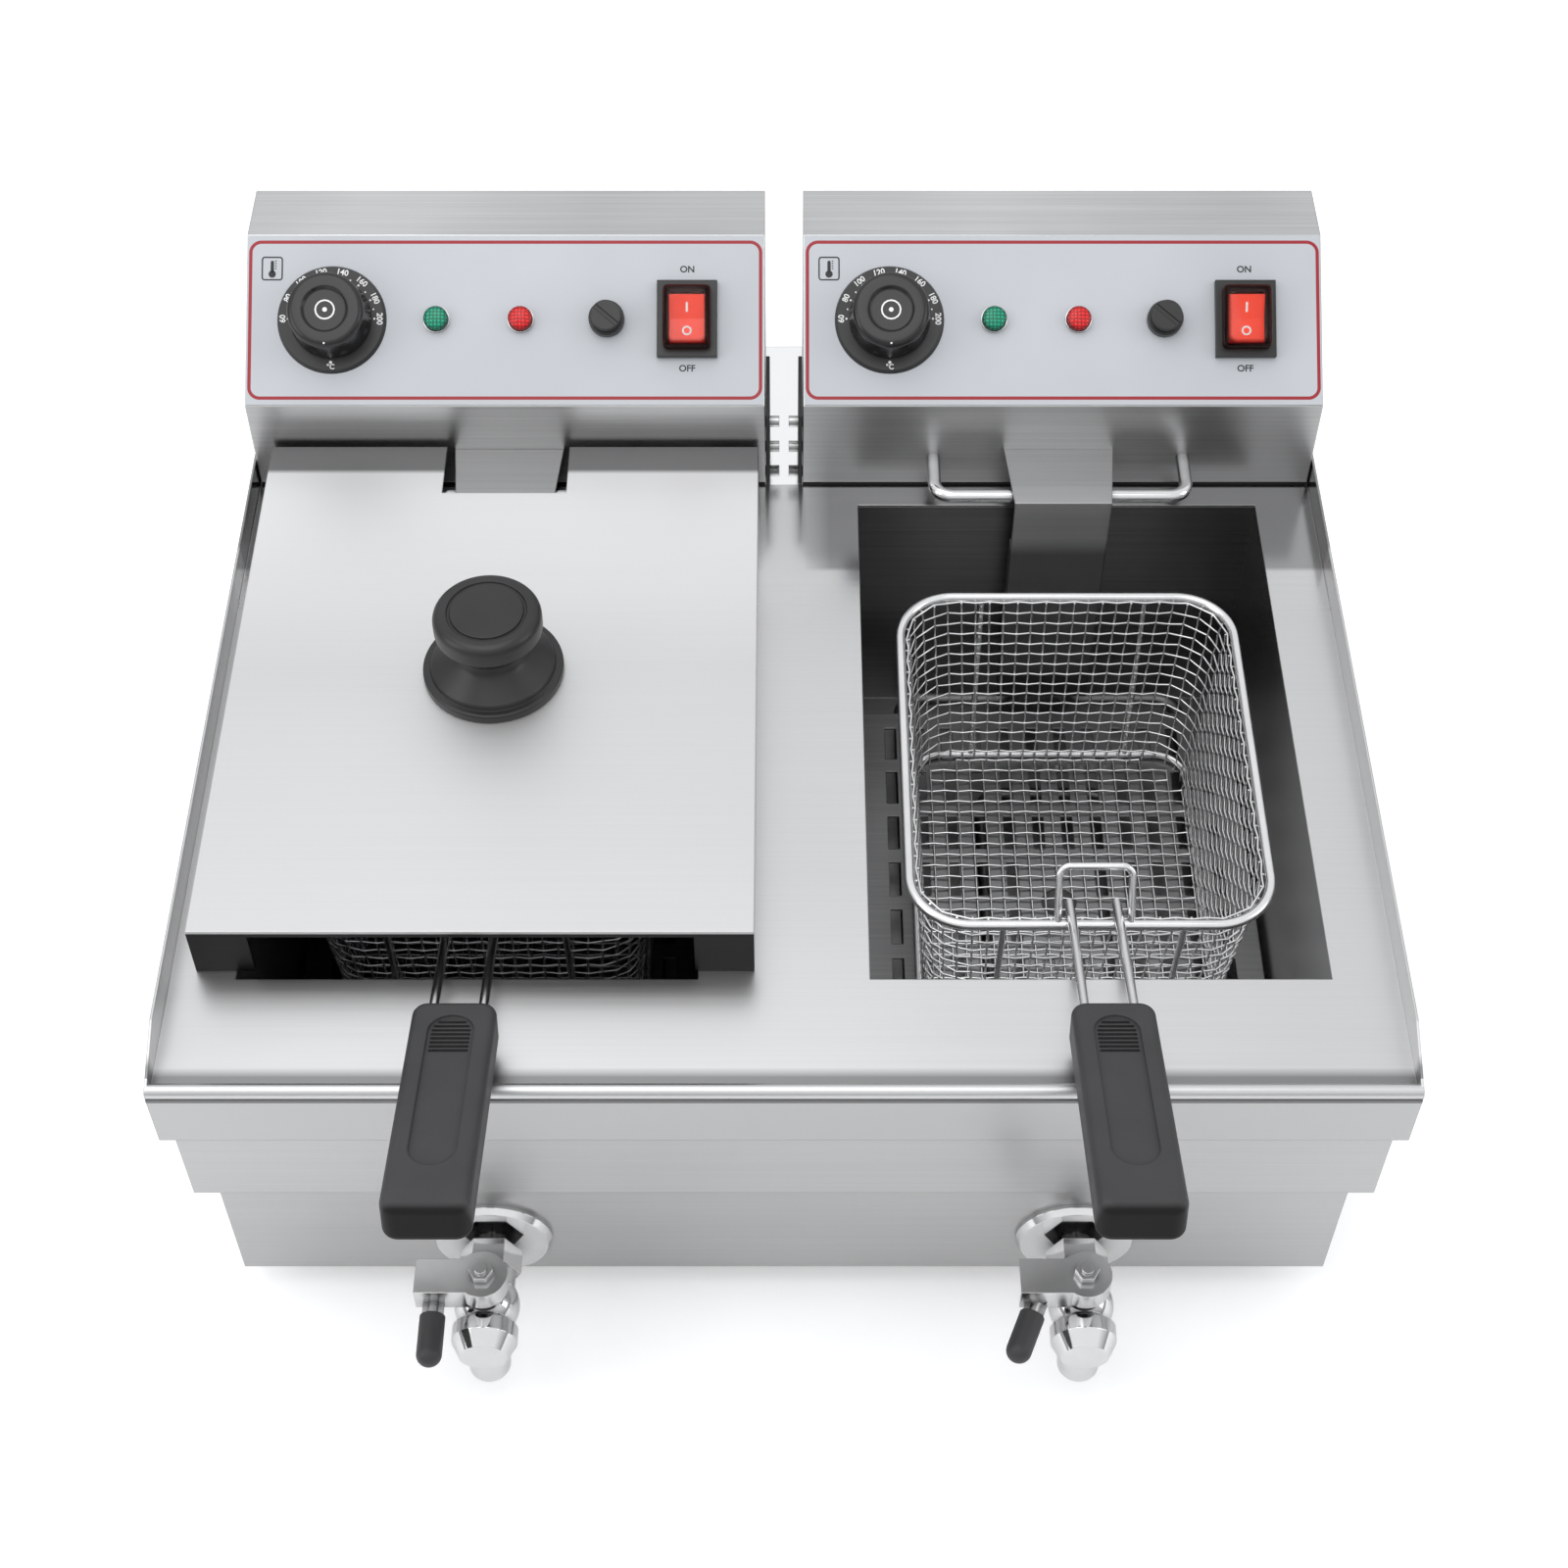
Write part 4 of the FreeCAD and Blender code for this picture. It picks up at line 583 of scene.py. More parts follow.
# %% The slope of the panels
PANEL_TILT, FILM_HALF_THICK = math.radians(35), 0.4 * MM
DIAL_U, POWER_U, HEAT_U, SWITCH_U = -89.5 * MM, -35.5 * MM, 8.0 * MM, 94.0 * MM


def panel_frame(side):
    """The matrix of one panel: its middle, with x along it, y up its slope and z out of it."""
    low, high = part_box(f"{side}_fascia")
    on_film = Matrix.Rotation(PANEL_TILT, 4, "X") @ Matrix.Translation((0, 0, FILM_HALF_THICK))
    return Matrix.Translation((low + high) / 2) @ on_film


slopes = {side: panel_frame(side) for side in SIDES}
print("panel middles", [tuple(slope.translation) for slope in slopes.values()])

# %% [markdown]
# ## The printed film
#
# The panel is satin film, pale grey with a thin dark red line round it. The line could be a strip of mesh,
# but a print has no thickness. So the finish works out how far each point of the film is from a rectangle
# with round corners, and paints a narrow band of that distance red.

# %% The printed film
LINE_HALF_W, LINE_HALF_H, LINE_CORNER = 131.9 * MM, 40.9 * MM, 5.5 * MM
LINE_HALF_THICK, LINE_SHARP, LINE_RED = 0.95 * MM, 0.85, (0.34, 0.008, 0.02)
FILM_DARK, FILM_LIGHT = (0.5, 0.52, 0.55), (0.55, 0.57, 0.605)


def on_panel(finish, side, across=0.0):
    """Coordinates of the surface on one panel, from a point of the panel's middle line."""
    turn = add_node(finish.tree, "ShaderNodeMapping", vector_type="TEXTURE")
    fill(turn, Location=slopes[side] @ Vector((across, 0, 0)), Rotation=(PANEL_TILT, 0, 0))
    finish.link(finish.place, turn.inputs["Vector"])
    return turn.outputs[0]


def past_core(finish, spot, half_w, half_h, corner):
    """How far the surface is from the core of a rounded rectangle: at its outline, one corner radius."""
    split = add_node(finish.tree, "ShaderNodeSeparateXYZ")
    finish.link(spot, split.inputs[0])
    reach = []
    for letter, half in (("X", half_w), ("Y", half_h)):
        out = finish.maths("SUBTRACT", finish.maths("ABSOLUTE", split.outputs[letter]), half - corner)
        reach.append(finish.maths("POWER", finish.maths("MAXIMUM", out, 0.0), 2.0))
    return finish.maths("SQRT", finish.maths("ADD", *reach))


def printed_film(side):
    """Satin film with a red line, centred on one panel."""
    finish = Finish(f"{side}_printed_film")
    effect = finish.effect(grain, Grain_Scale=900.0, Patch_Scale=12.0)
    far = past_core(finish, on_panel(finish, side), LINE_HALF_W, LINE_HALF_H, LINE_CORNER)
    off_line = finish.maths("ABSOLUTE", finish.maths("SUBTRACT", far, LINE_CORNER))
    line = finish.between(off_line, 1, 0, LINE_SHARP * LINE_HALF_THICK, LINE_HALF_THICK)
    film = finish.blend(finish.between(effect["Patch"], 0, 1), FILM_DARK, FILM_LIGHT)
    finish.feed(Base_Color=finish.blend(line, film, LINE_RED))
    finish.feed(Roughness=finish.between(effect["Patch"], 0.36, 0.46))
    relief(finish, effect["Grain"], strength=0.05, distance=0.1 * MM, edge=0.3 * MM)
    return finish


films = {side: printed_film(side) for side in SIDES}
print("films", [film.material.name for film in films.values()])

# %% [markdown]
# ## Clear plastic
#
# A soft clear boot keeps grease out of each switch. Its top is like a window. Its walls are seen edge on,
# so they gather the red of the rocker and turn to a dark reddish brown. Real glass would need many bounces
# to show that. Tinting the plastic past the window's edge gives the same look at once.

# %% Clear plastic
WINDOW_HALF_W, WINDOW_HALF_H, WINDOW_CORNER = 9.2 * MM, 13.2 * MM, 3 * MM
RIM_START, RIM_FULL, RIM_RED = 0.8 * WINDOW_CORNER, 1.5 * WINDOW_CORNER, (0.22, 0.03, 0.02)
CLEAR_DARK, CLEAR_LIGHT = (0.96, 0.95, 0.94), (1.0, 1.0, 1.0)


def clear_plastic(side):
    """Clear soft plastic with a dark rim round the window over one rocker."""
    finish = Finish(f"{side}_clear_plastic")
    finish.feed(IOR=1.2, Specular_IOR_Level=0.15, Transmission_Weight=1.0)
    cloud = finish.effect(grain, Grain_Scale=260.0, Patch_Scale=MOULD_PATCH)["Patch"]
    spot = on_panel(finish, side, SWITCH_U)
    far = past_core(finish, spot, WINDOW_HALF_W, WINDOW_HALF_H, WINDOW_CORNER)
    rim = finish.between(far, 0, 1, RIM_START, RIM_FULL)
    tint = finish.blend(cloud, CLEAR_DARK, CLEAR_LIGHT)
    finish.feed(Base_Color=finish.blend(rim, tint, RIM_RED), Roughness=finish.between(cloud, 0.02, 0.06))
    return finish


boots = {side: clear_plastic(side) for side in SIDES}
print("boot finishes", [boot.material.name for boot in boots.values()])

# %% [markdown]
# ## Dress the solids
#
# Every solid now gets the finish of its real piece. A list that goes from finish to pieces keeps it easy
# to see what is made of the same stuff, and the print says if any solid was forgotten.

# %% Dress the solids
def pair(*names):
    """The left and the right solid of each name."""
    return [f"{side}_{name}" for name in names for side in SIDES]


dress = {
    casing_steel: ["lower_base", "mid_casing"],
    deck_steel: ["deck"],
    lid_steel: ["lid"],
    head_steel: pair("head_housing"),
    riser_steel: pair("element_riser"),
    strainer_steel: pair("strainer"),
    tank_steel: pair("tank"),
    lever_steel: pair("tap_lever", "tap_stem") + ["head_bolts"],
    plating: pair("drain_pipe", "valve_body", "basket_rest", "shaft")
    + ["drain_trim_discs", "power_lamps", "heating_lamps"],
    wire_metal: pair("basket_frame", "handle_rods", "basket_mesh"),
    heater_metal: pair("heating_element") + ["sensor_bulbs"],
    black_plastic: pair("dial_knob", "reset_button")
    + ["dial_rings", "reset_caps", "switch_bodies", "cable_glands", "lid_knob"]
    + ["thermostats", "limit_thermostats"],
    grip_plastic: pair("grip", "lever_sleeve"),
    rubber: ["feet", "head_seals"],
    bracket_paint: ["head_bracket"],
    red_plastic: pair("rocker"),
    boots["left"]: ["switch_boots"],
    films["left"]: ["left_fascia"],
    films["right"]: ["right_fascia"],
}
for finish, names in dress.items():
    for name in names:
        nodes[name].data.materials.clear()
        nodes[name].data.materials.append(finish.material)
dressed = {name for names in dress.values() for name in names}
print("dressed", len(dressed), "bare", sorted(set(nodes) - dressed))

# %% [markdown]
# ## The tub of a basket
#
# A fryer basket is a sheet of woven wire, pressed into a tub: a rectangle with round corners that narrows
# to its floor. The solid has it as a thin plain wall. The wires are laid on that form, so the first step
# is to walk round the tub at even steps, along each side and then round the corner after it.

# %% The tub of a basket
WIRE_R, WIRE_PITCH, WIRE_LEAN, WIRE_CLEAR = 0.55 * MM, 7.2 * MM, 0.5 * MM, 0.1 * MM
TUB_DRAW, TUB_CORNER = 10 * MM, 25 * MM
FLOOR_CORNER = TUB_CORNER - TUB_DRAW / 2
SIDE_WAYS = ((1, 0), (0, 1), (-1, 0), (0, -1))
CORNER_WAYS = ((1, -1), (1, 1), (-1, 1), (-1, -1))
Tub = namedtuple("Tub", "middle half_w half_l floor_z top_z")


def tub_of(side):
    """The form that the wires of one basket are laid on."""
    low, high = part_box(f"{side}_basket_mesh")
    inset = WIRE_R + WIRE_LEAN + WIRE_CLEAR
    half = (high - low) / 2
    return Tub((low + high) / 2, half.x - inset, half.y - inset, low.z + inset, high.z)


def tub_loop(count, half_w, half_l, corner):
    """Points and outward directions, evenly spread round a rectangle with round corners."""
    straights = [2 * (half_w - corner), 2 * (half_l - corner)] * 2
    bend = math.pi / 2 * corner
    whole = sum(straights) + 4 * bend
    points = []
    for step in range(count):
        left, side = whole * step / count, 0
        while left > straights[side] + bend:
            left -= straights[side] + bend
            side += 1
        way = Vector(SIDE_WAYS[side])
        turn = Vector((CORNER_WAYS[side][0] * (half_w - corner), CORNER_WAYS[side][1] * (half_l - corner)))
        angle = math.radians(90) * (side - 1) + max(0, left - straights[side]) / corner
        out = Vector((math.cos(angle), math.sin(angle)))
        points.append((turn - way * max(0, straights[side] - left) + out * corner, out))
    return points


tubs = {side: tub_of(side) for side in SIDES}
print("tub", 2 * tubs["left"].half_w / MM, "by", 2 * tubs["left"].half_l / MM, "mm")

# %% [markdown]
# ## Wires
#
# In a weave, each wire goes over one neighbour and under the next. A flat net with thickness would look
# stamped, so every wire is a line that leans in or out at each crossing. A curve with a round section
# turns a line into a wire, and all wires of a basket share one curve. The wall's round corners make its
# loop a little shorter than a rectangle, and it has that many fewer upright wires.

# %% Wires
ROUND_SHARE = 0.94


def lean(first, second):
    """How far a wire leans out where it crosses another: over one and under the next."""
    return WIRE_LEAN if (first + second) % 2 else -WIRE_LEAN


def lay_wire(curve, points, closed=False):
    """Add one wire to a curve."""
    strand = curve.splines.new("POLY")
    strand.points.add(len(points) - 1)
    for point, spot in zip(strand.points, points):
        point.co = (*spot, 1)
    strand.use_cyclic_u = closed


def weave_wall(curve, tub):
    """The upright wires and the level wires of one tub's wall."""
    rows = round((tub.top_z - tub.floor_z) / WIRE_PITCH)
    around = 2 * round((tub.half_w + tub.half_l) * 2 / WIRE_PITCH * ROUND_SHARE)
    upper = tub_loop(around, tub.half_w, tub.half_l, TUB_CORNER)
    lower = tub_loop(around, tub.half_w - TUB_DRAW, tub.half_l - TUB_DRAW, FLOOR_CORNER)

    def spot(column, row, out):
        share = row / rows
        flat = lower[column][0].lerp(upper[column][0], share) + upper[column][1] * out
        up = tub.floor_z + (tub.top_z - tub.floor_z) * share
        return (tub.middle.x + flat.x, tub.middle.y + flat.y, up)

    for column in range(around):
        lay_wire(curve, [spot(column, row, lean(column, row)) for row in range(rows + 1)])
    for row in range(1, rows + 1):
        lay_wire(curve, [spot(column, row, -lean(column, row)) for column in range(around)], closed=True)
    print("wall of", around, "upright and", rows, "level wires")


print("wire of", 2 * WIRE_R / MM, "mm, every", WIRE_PITCH / MM, "mm")

# %% [markdown]
# ## The floor of a basket
#
# The floor is the same weave laid flat. Its wires run in a plain grid, and each is cut off where it would
# pass the round corners of the floor.

# %% The floor of a basket
def spread(half):
    """Places of the wires across the floor, evenly from edge to edge."""
    count = round(2 * half / WIRE_PITCH)
    return [-half + 2 * half * step / count for step in range(count + 1)]


def on_floor(x, y, half_w, half_l):
    """True for a crossing within the round corners of the floor."""
    reach_x, reach_y = abs(x) - (half_w - FLOOR_CORNER), abs(y) - (half_l - FLOOR_CORNER)
    return math.hypot(max(reach_x, 0), max(reach_y, 0)) <= FLOOR_CORNER + WIRE_R


def weave_floor(curve, tub):
    """The wires of one tub's floor, in both directions."""
    half_w, half_l = tub.half_w - TUB_DRAW, tub.half_l - TUB_DRAW
    across, along = spread(half_w), spread(half_l)
    crossings = {}
    for first, x in enumerate(across):
        for second, y in enumerate(along):
            if on_floor(x, y, half_w, half_l):
                crossings[first, second] = (tub.middle.x + x, tub.middle.y + y)
    strands = [[(*crossings[key], tub.floor_z + lean(*key)) for key in crossings if key[0] == first]
               for first in range(len(across))]
    strands += [[(*crossings[key], tub.floor_z - lean(*key)) for key in crossings if key[1] == second]
                for second in range(len(along))]
    for strand in strands:
        if len(strand) > 1:
            lay_wire(curve, strand)
    print("floor of", len(strands), "wires")


print("floor corners of", FLOOR_CORNER / MM, "mm")

# %% [markdown]
# ## Weave the baskets
#
# Each basket's curve is filled with its wires, capped at the ends and made a mesh, which then stands for
# the plain wall of the solid. The helper that follows is used for every new piece: it gives the piece its
# finish, softens the shading of its round faces, and fixes it to the body that carries it.

# %% Weave the baskets
WEAVE_SMOOTH = 80


def take_up(piece):
    """Make one object the only selected and the active one."""
    deselect_all()
    piece.select_set(True)
    bpy.context.view_layer.objects.active = piece


def wear_finish(piece, finish, body, smooth_angle=None):
    """Give a new piece its finish, and fix it to the body that carries it."""
    piece.data.materials.clear()
    piece.data.materials.append(finish.material)
    take_up(piece)
    if smooth_angle:
        bpy.ops.object.shade_smooth_by_angle(angle=math.radians(smooth_angle))
    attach(piece, body)
    print("made", piece.name, len(piece.data.polygons), "faces")


for side in SIDES:
    curve = bpy.data.curves.new(f"{side}_woven_tub", "CURVE")
    curve.dimensions = "3D"
    curve.bevel_depth = WIRE_R
    curve.bevel_resolution = 1
    curve.use_fill_caps = True
    weave_wall(curve, tubs[side])
    weave_floor(curve, tubs[side])
    woven = bpy.data.objects.new(f"{side}_woven_tub", curve)
    bpy.context.scene.collection.objects.link(woven)
    take_up(woven)
    bpy.ops.object.convert(target="MESH")
    woven = bpy.context.active_object
    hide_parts(f"{side}_basket_mesh")
    wear_finish(woven, wire_metal, f"{side}_basket", WEAVE_SMOOTH)

# %% [markdown]
# ## A lathe
#
# A turned piece is an outline, spun round its axis as a lathe would cut it. The outline is a list of
# corners, and each corner says how far it is from the axis, how high it is, and how large the arc is that
# rounds it off. Long stretches are divided, so that they can be shaped further.

# %% A lathe
ARC_STEPS, MERGE_WITHIN = 8, 0.02 * MM


def rounded_outline(corners, longest):
    """Points of an outline: an arc at each corner with a radius, and no stretch over the longest length."""
    drawn = []
    for index, (across, up, radius) in enumerate(corners):
        corner = Vector((across, up))
        if not radius:
            drawn.append(corner)
            continue
        back = (Vector(corners[index - 1][:2]) - corner).normalized()
        ahead = (Vector(corners[index + 1][:2]) - corner).normalized()
        half = back.angle(ahead) / 2
        centre = corner + (back + ahead).normalized() * radius / math.sin(half)
        start = corner + back * radius / math.tan(half) - centre
        end = corner + ahead * radius / math.tan(half) - centre
        drawn += [centre + start.slerp(end, step / ARC_STEPS) * radius for step in range(ARC_STEPS + 1)]
    points = drawn[:1]
    for before, after in zip(drawn, drawn[1:]):
        pieces = math.ceil((after - before).length / longest)
        points += [before.lerp(after, (step + 1) / pieces) for step in range(pieces)]
    return points


def lathe(name, corners, longest, steps):
    """Spin an outline round the z axis."""
    points = rounded_outline(corners, longest)
    deselect_all()
    bpy.ops.mesh.primitive_plane_add(size=1)
    piece = bpy.context.active_object
    piece.name = name
    bpy.ops.object.mode_set(mode="EDIT")
    bpy.ops.mesh.delete(type="VERT")
    bpy.ops.object.mode_set(mode="OBJECT")
    edges = [(index, index + 1) for index in range(len(points) - 1)]
    piece.data.from_pydata([(point.x, 0, point.y) for point in points], edges, [])
    bpy.ops.object.mode_set(mode="EDIT")
    bpy.ops.mesh.select_all(action="SELECT")
    bpy.ops.mesh.spin(steps=steps, angle=2 * math.pi, center=(0, 0, 0), axis=(0, 0, 1))
    bpy.ops.mesh.select_all(action="SELECT")
    bpy.ops.mesh.remove_doubles(threshold=MERGE_WITHIN)
    bpy.ops.mesh.normals_make_consistent(inside=False)
    bpy.ops.object.mode_set(mode="OBJECT")
    return piece


print("arcs of", ARC_STEPS, "steps")

# %% [markdown]
# ## The lid's knob
#
# The lid's knob is a moulded mushroom: a wide foot with a lip, a narrow waist, and a crowned cap with a
# shallow ring in its top. It could be cut from cylinders, but one spun outline gives its flowing waist.
# Its corners are shares of the solid's radius and height, and its arcs are in millimetres.

# %% The lid's knob
KNOB_STEPS, KNOB_SMOOTH = 64, 28
foot = [(0, 0, 0), (1, 0, 0), (1, 0.105, 1.2), (0.894, 0.114, 0), (0.876, 0.167, 1.5)]
waist = [(0.368, 0.453, 7), (0.765, 0.71, 2.5)]
cap = [(0.765, 0.972, 4.5), (0.565, 0.977, 0)]
cap_ring = [(0.556, 0.956, 0), (0.52, 0.956, 0), (0.512, 0.981, 0), (0, 1, 0)]


def settle(piece, matrix):
    """Move a piece's place into its mesh, through a matrix, and leave its object at the origin."""
    piece.data.transform(matrix @ piece.matrix_basis)
    piece.matrix_basis = Matrix.Identity(4)
    return piece


knob_low, knob_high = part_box("lid_knob")
knob_middle = (knob_low + knob_high) / 2
knob_r, knob_h = (knob_high.x - knob_low.x) / 2, knob_high.z - knob_low.z
mushroom = foot + waist + cap + cap_ring
knob_corners = [(across * knob_r, up * knob_h, radius * MM) for across, up, radius in mushroom]
turned_knob = lathe("turned_lid_knob", knob_corners, knob_r, KNOB_STEPS)
settle(turned_knob, Matrix.Translation((knob_middle.x, knob_middle.y, knob_low.z)))
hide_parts("lid_knob")
wear_finish(turned_knob, black_plastic, "lid_body", KNOB_SMOOTH)

# %% [markdown]
# ## Marks
#
# The signs and scales are printed or stamped. A picture of them would blur close up, so each mark is a
# very thin mesh of its own, made flat and then laid on its slope: words from a text object, dots from a
# circle, and bars or frames from a plane with rounded corners.

# %% Marks
PRINT_LIFT, INK_THICK = 0.05 * MM, 0.06 * MM
LETTER_HALF_THICK, LETTER_BOLD, LETTER_STEPS = 0.04 * MM, 0.02, 4
CORNER_STEPS, DOT_SIDES = 4, 20


def word(text, size, at, turn=0.0):
    """A flat word, its middle on a point of the panel."""
    deselect_all()
    bpy.ops.object.text_add()
    letters = bpy.context.active_object.data
    letters.body = text
    letters.size = size
    letters.align_x = "CENTER"
    letters.align_y = "CENTER"
    letters.extrude = LETTER_HALF_THICK
    letters.offset = size * LETTER_BOLD
    letters.resolution_u = LETTER_STEPS
    bpy.ops.object.convert(target="MESH")
    spot = Matrix.Translation((*at, PRINT_LIFT)) @ Matrix.Rotation(turn, 4, "Z")
    return settle(bpy.context.active_object, spot)


def thicken(mark, at):
    """Give a flat mark its thickness, turn its faces outwards and lay it on a point of the panel."""
    bpy.ops.mesh.extrude_region_move(TRANSFORM_OT_translate={"value": (0, 0, INK_THICK)})
    bpy.ops.mesh.select_all(action="SELECT")
    bpy.ops.mesh.normals_make_consistent(inside=False)
    bpy.ops.object.mode_set(mode="OBJECT")
    return settle(mark, Matrix.Translation((*at, PRINT_LIFT)))


def dot(radius, at, sides=DOT_SIDES):
    """A flat round mark."""
    deselect_all()
    bpy.ops.mesh.primitive_circle_add(vertices=sides, radius=radius, fill_type="NGON")
    bpy.ops.object.mode_set(mode="EDIT")
    bpy.ops.mesh.select_all(action="SELECT")
    return thicken(bpy.context.active_object, at)


def bar(width, height, at, corner, line=None):
    """A flat bar with round corners, or only its outline where a line's width is given."""
    deselect_all()
    bpy.ops.mesh.primitive_plane_add(size=1)
    made = bpy.context.active_object
    made.scale = (width, height, 1)
    bpy.ops.object.transform_apply(location=False, rotation=False, scale=True)
    bpy.ops.object.mode_set(mode="EDIT")
    bpy.ops.mesh.select_all(action="SELECT")
    bpy.ops.mesh.bevel(offset=corner, segments=CORNER_STEPS, affect="VERTICES")
    if line:
        bpy.ops.mesh.inset(thickness=line)
        bpy.ops.mesh.delete(type="FACE")
        bpy.ops.mesh.select_all(action="SELECT")
    return thicken(made, at)


print("ink of", INK_THICK / MM, "mm")

# %% [markdown]
# ## Print on the panels
#
# Each panel has a small sign for temperature beside its dial, a thermometer in a frame, and the words ON
# and OFF at its switch. They are black ink on the film, so all of them are joined into one piece.

# %% Print on the panels
WORD_SIZE, ON_V, OFF_V = 4.8 * MM, 26.5 * MM, -25.5 * MM
SIGN_U, SIGN_V = -120.7 * MM, 27 * MM
STROKES, STROKE_U, STROKE_STEP = 4, SIGN_U + 1.8 * MM, 1.3 * MM


def merge(pieces, name):
    """Join several meshes into one piece."""
    take_up(pieces[0])
    for piece in pieces:
        piece.select_set(True)
    bpy.ops.object.join()
    pieces[0].name = name
    pieces[0].data.name = name
    return pieces[0]


def thermometer():
    """A tube with a bulb and four strokes beside it, in a frame."""
    marks = [
        bar(width=11 * MM, height=12.5 * MM, at=(SIGN_U, SIGN_V), corner=1.6 * MM, line=0.7 * MM),
        bar(width=1.7 * MM, height=6.4 * MM, at=(SIGN_U, SIGN_V + 0.9 * MM), corner=0.8 * MM),
        dot(radius=1.9 * MM, at=(SIGN_U, SIGN_V - 2.9 * MM)),
    ]
    for step in range(STROKES):
        at = (STROKE_U, SIGN_V + step * STROKE_STEP)
        marks.append(bar(width=0.9 * MM, height=0.5 * MM, at=at, corner=0.2 * MM))
    return marks


for side in SIDES:
    words = [word("ON", WORD_SIZE, (SWITCH_U, ON_V)), word("OFF", WORD_SIZE, (SWITCH_U, OFF_V))]
    panel_print = settle(merge(words + thermometer(), f"{side}_panel_print"), slopes[side])
    wear_finish(panel_print, black_ink, "fryer")

# %% [markdown]
# ## Scales on the dial rings
#
# A black ring stays still round each dial knob, with white numbers over its upper half: a number and a dot
# every twenty degrees, and a smaller dot between. Its places follow from one angle for each step, so a
# loop prints it.

# %% Scales on the dial rings
COLDEST, HOTTEST, NUMBER_STEP = 60, 200, 20
SPACES = (HOTTEST - COLDEST) // NUMBER_STEP
RING_TOP, NUMBER_R, TICK_R = 2.5 * MM, 24.9 * MM, 22.3 * MM
NUMBER_SIZE, UNIT_SIZE = 4.2 * MM, 3.8 * MM
OFF_DOT_V, UNIT_V, SMALL_DOT_SIDES = -22.8 * MM, -25.2 * MM, 12


def scale_marks():
    """The numbers, the dots and the unit of one scale, round the middle of its dial."""
    marks = [dot(radius=0.8 * MM, at=(0, OFF_DOT_V)), word("°C", UNIT_SIZE, (0, UNIT_V))]
    for half_step in range(2 * SPACES + 1):
        angle = math.pi - math.pi * half_step / 2 / SPACES
        away = Vector((math.cos(angle), math.sin(angle)))
        if half_step % 2:
            marks.append(dot(radius=0.45 * MM, at=away * TICK_R, sides=SMALL_DOT_SIDES))
            continue
        number = str(COLDEST + NUMBER_STEP * half_step // 2)
        marks.append(word(number, NUMBER_SIZE, away * NUMBER_R, angle - math.pi / 2))
        marks.append(dot(radius=0.55 * MM, at=away * TICK_R, sides=SMALL_DOT_SIDES))
    return marks


for side in SIDES:
    on_ring = slopes[side] @ Matrix.Translation((DIAL_U, 0, RING_TOP))
    dial_scale = settle(merge(scale_marks(), f"{side}_dial_scale"), on_ring)
    wear_finish(dial_scale, white_ink, "fryer")

# %% [markdown]
# ## Faceted lamps
#
# Each head has a green and a red lamp. A lamp's lens is a low dome, and small pyramids in its back break
# up the light. Cutting the pyramids would take thousands of faces, so a grid in the finish shows them,
# brighter in the middle of each, and darker towards the edge of the lens.

# %% The lamps' finish
LENS_R, LENS_H, LENS_FOOT = 6.4 * MM, 2.4 * MM, 1.9 * MM
FACET, FACET_DEPTH, LENS_GLOW = 1.9 * MM, 0.5 * MM, 0.3
EDGE_START, EDGE_FULL, EDGE_SHARE, EDGE_DIM = 0.72 * LENS_R, 0.98 * LENS_R, 0.9, 0.4


def faceted(name, side, across, dark, light):
    """A coloured lens whose back is pressed into a grid of small pyramids, darker to its edge."""
    finish = Finish(name)
    spot = on_panel(finish, side, across)
    cells = add_node(finish.tree, "ShaderNodeTexVoronoi", voronoi_dimensions="2D", distance="CHEBYCHEV")
    fill(cells, Scale=1 / FACET, Randomness=0.0)
    finish.link(spot, cells.inputs["Vector"])
    off_middle = cells.outputs["Distance"]
    hue = finish.blend(finish.between(off_middle, 1, 0, 0.1, 0.5), dark, light)
    far = past_core(finish, spot, LENS_R, LENS_R, LENS_R)
    edge = finish.between(far, 0, EDGE_SHARE, EDGE_START, EDGE_FULL)
    hue = finish.blend(edge, hue, tuple(EDGE_DIM * part for part in dark))
    finish.feed(Base_Color=hue, Emission_Color=hue, Emission_Strength=LENS_GLOW)
    finish.feed(Roughness=finish.between(off_middle, 0.06, 0.2, 0.0, 0.5))
    relief(finish, finish.maths("SUBTRACT", 0.5, off_middle), strength=0.6, distance=FACET_DEPTH, edge=None)
    return finish


green, red, facets = ((0.0, 0.06, 0.035), (0.0, 0.36, 0.2)), ((0.2, 0.0, 0.002), (0.85, 0.012, 0.012)), {}
for side in SIDES:
    facets[side, "green"] = faceted(f"{side}_green_facets", side, POWER_U, *green)
    facets[side, "red"] = faceted(f"{side}_red_facets", side, HEAT_U, *red)
print("lamp finishes", len(facets))

# %% [markdown]
# The dome itself is a sphere, cut in half and pressed flat, so that its rim meets the lamp's ring all the
# way round.

# %% The lamps' lenses
LENS_SIDES, LENS_RINGS, LENS_SMOOTH = 40, 20, 40
lamp_places = {"green": POWER_U, "red": HEAT_U}


def lamp_lens(name):
    """A low dome with a flat back, at the origin."""
    deselect_all()
    bpy.ops.mesh.primitive_uv_sphere_add(segments=LENS_SIDES, ring_count=LENS_RINGS, radius=LENS_R)
    lens = bpy.context.active_object
    lens.name = name
    bpy.ops.object.mode_set(mode="EDIT")
    bpy.ops.mesh.select_all(action="SELECT")
    bpy.ops.mesh.bisect(plane_co=(0, 0, 0), plane_no=(0, 0, 1), use_fill=True, clear_inner=True)
    bpy.ops.mesh.select_all(action="SELECT")
    bpy.ops.transform.resize(value=(1, 1, LENS_H / LENS_R))
    bpy.ops.object.mode_set(mode="OBJECT")
    return lens


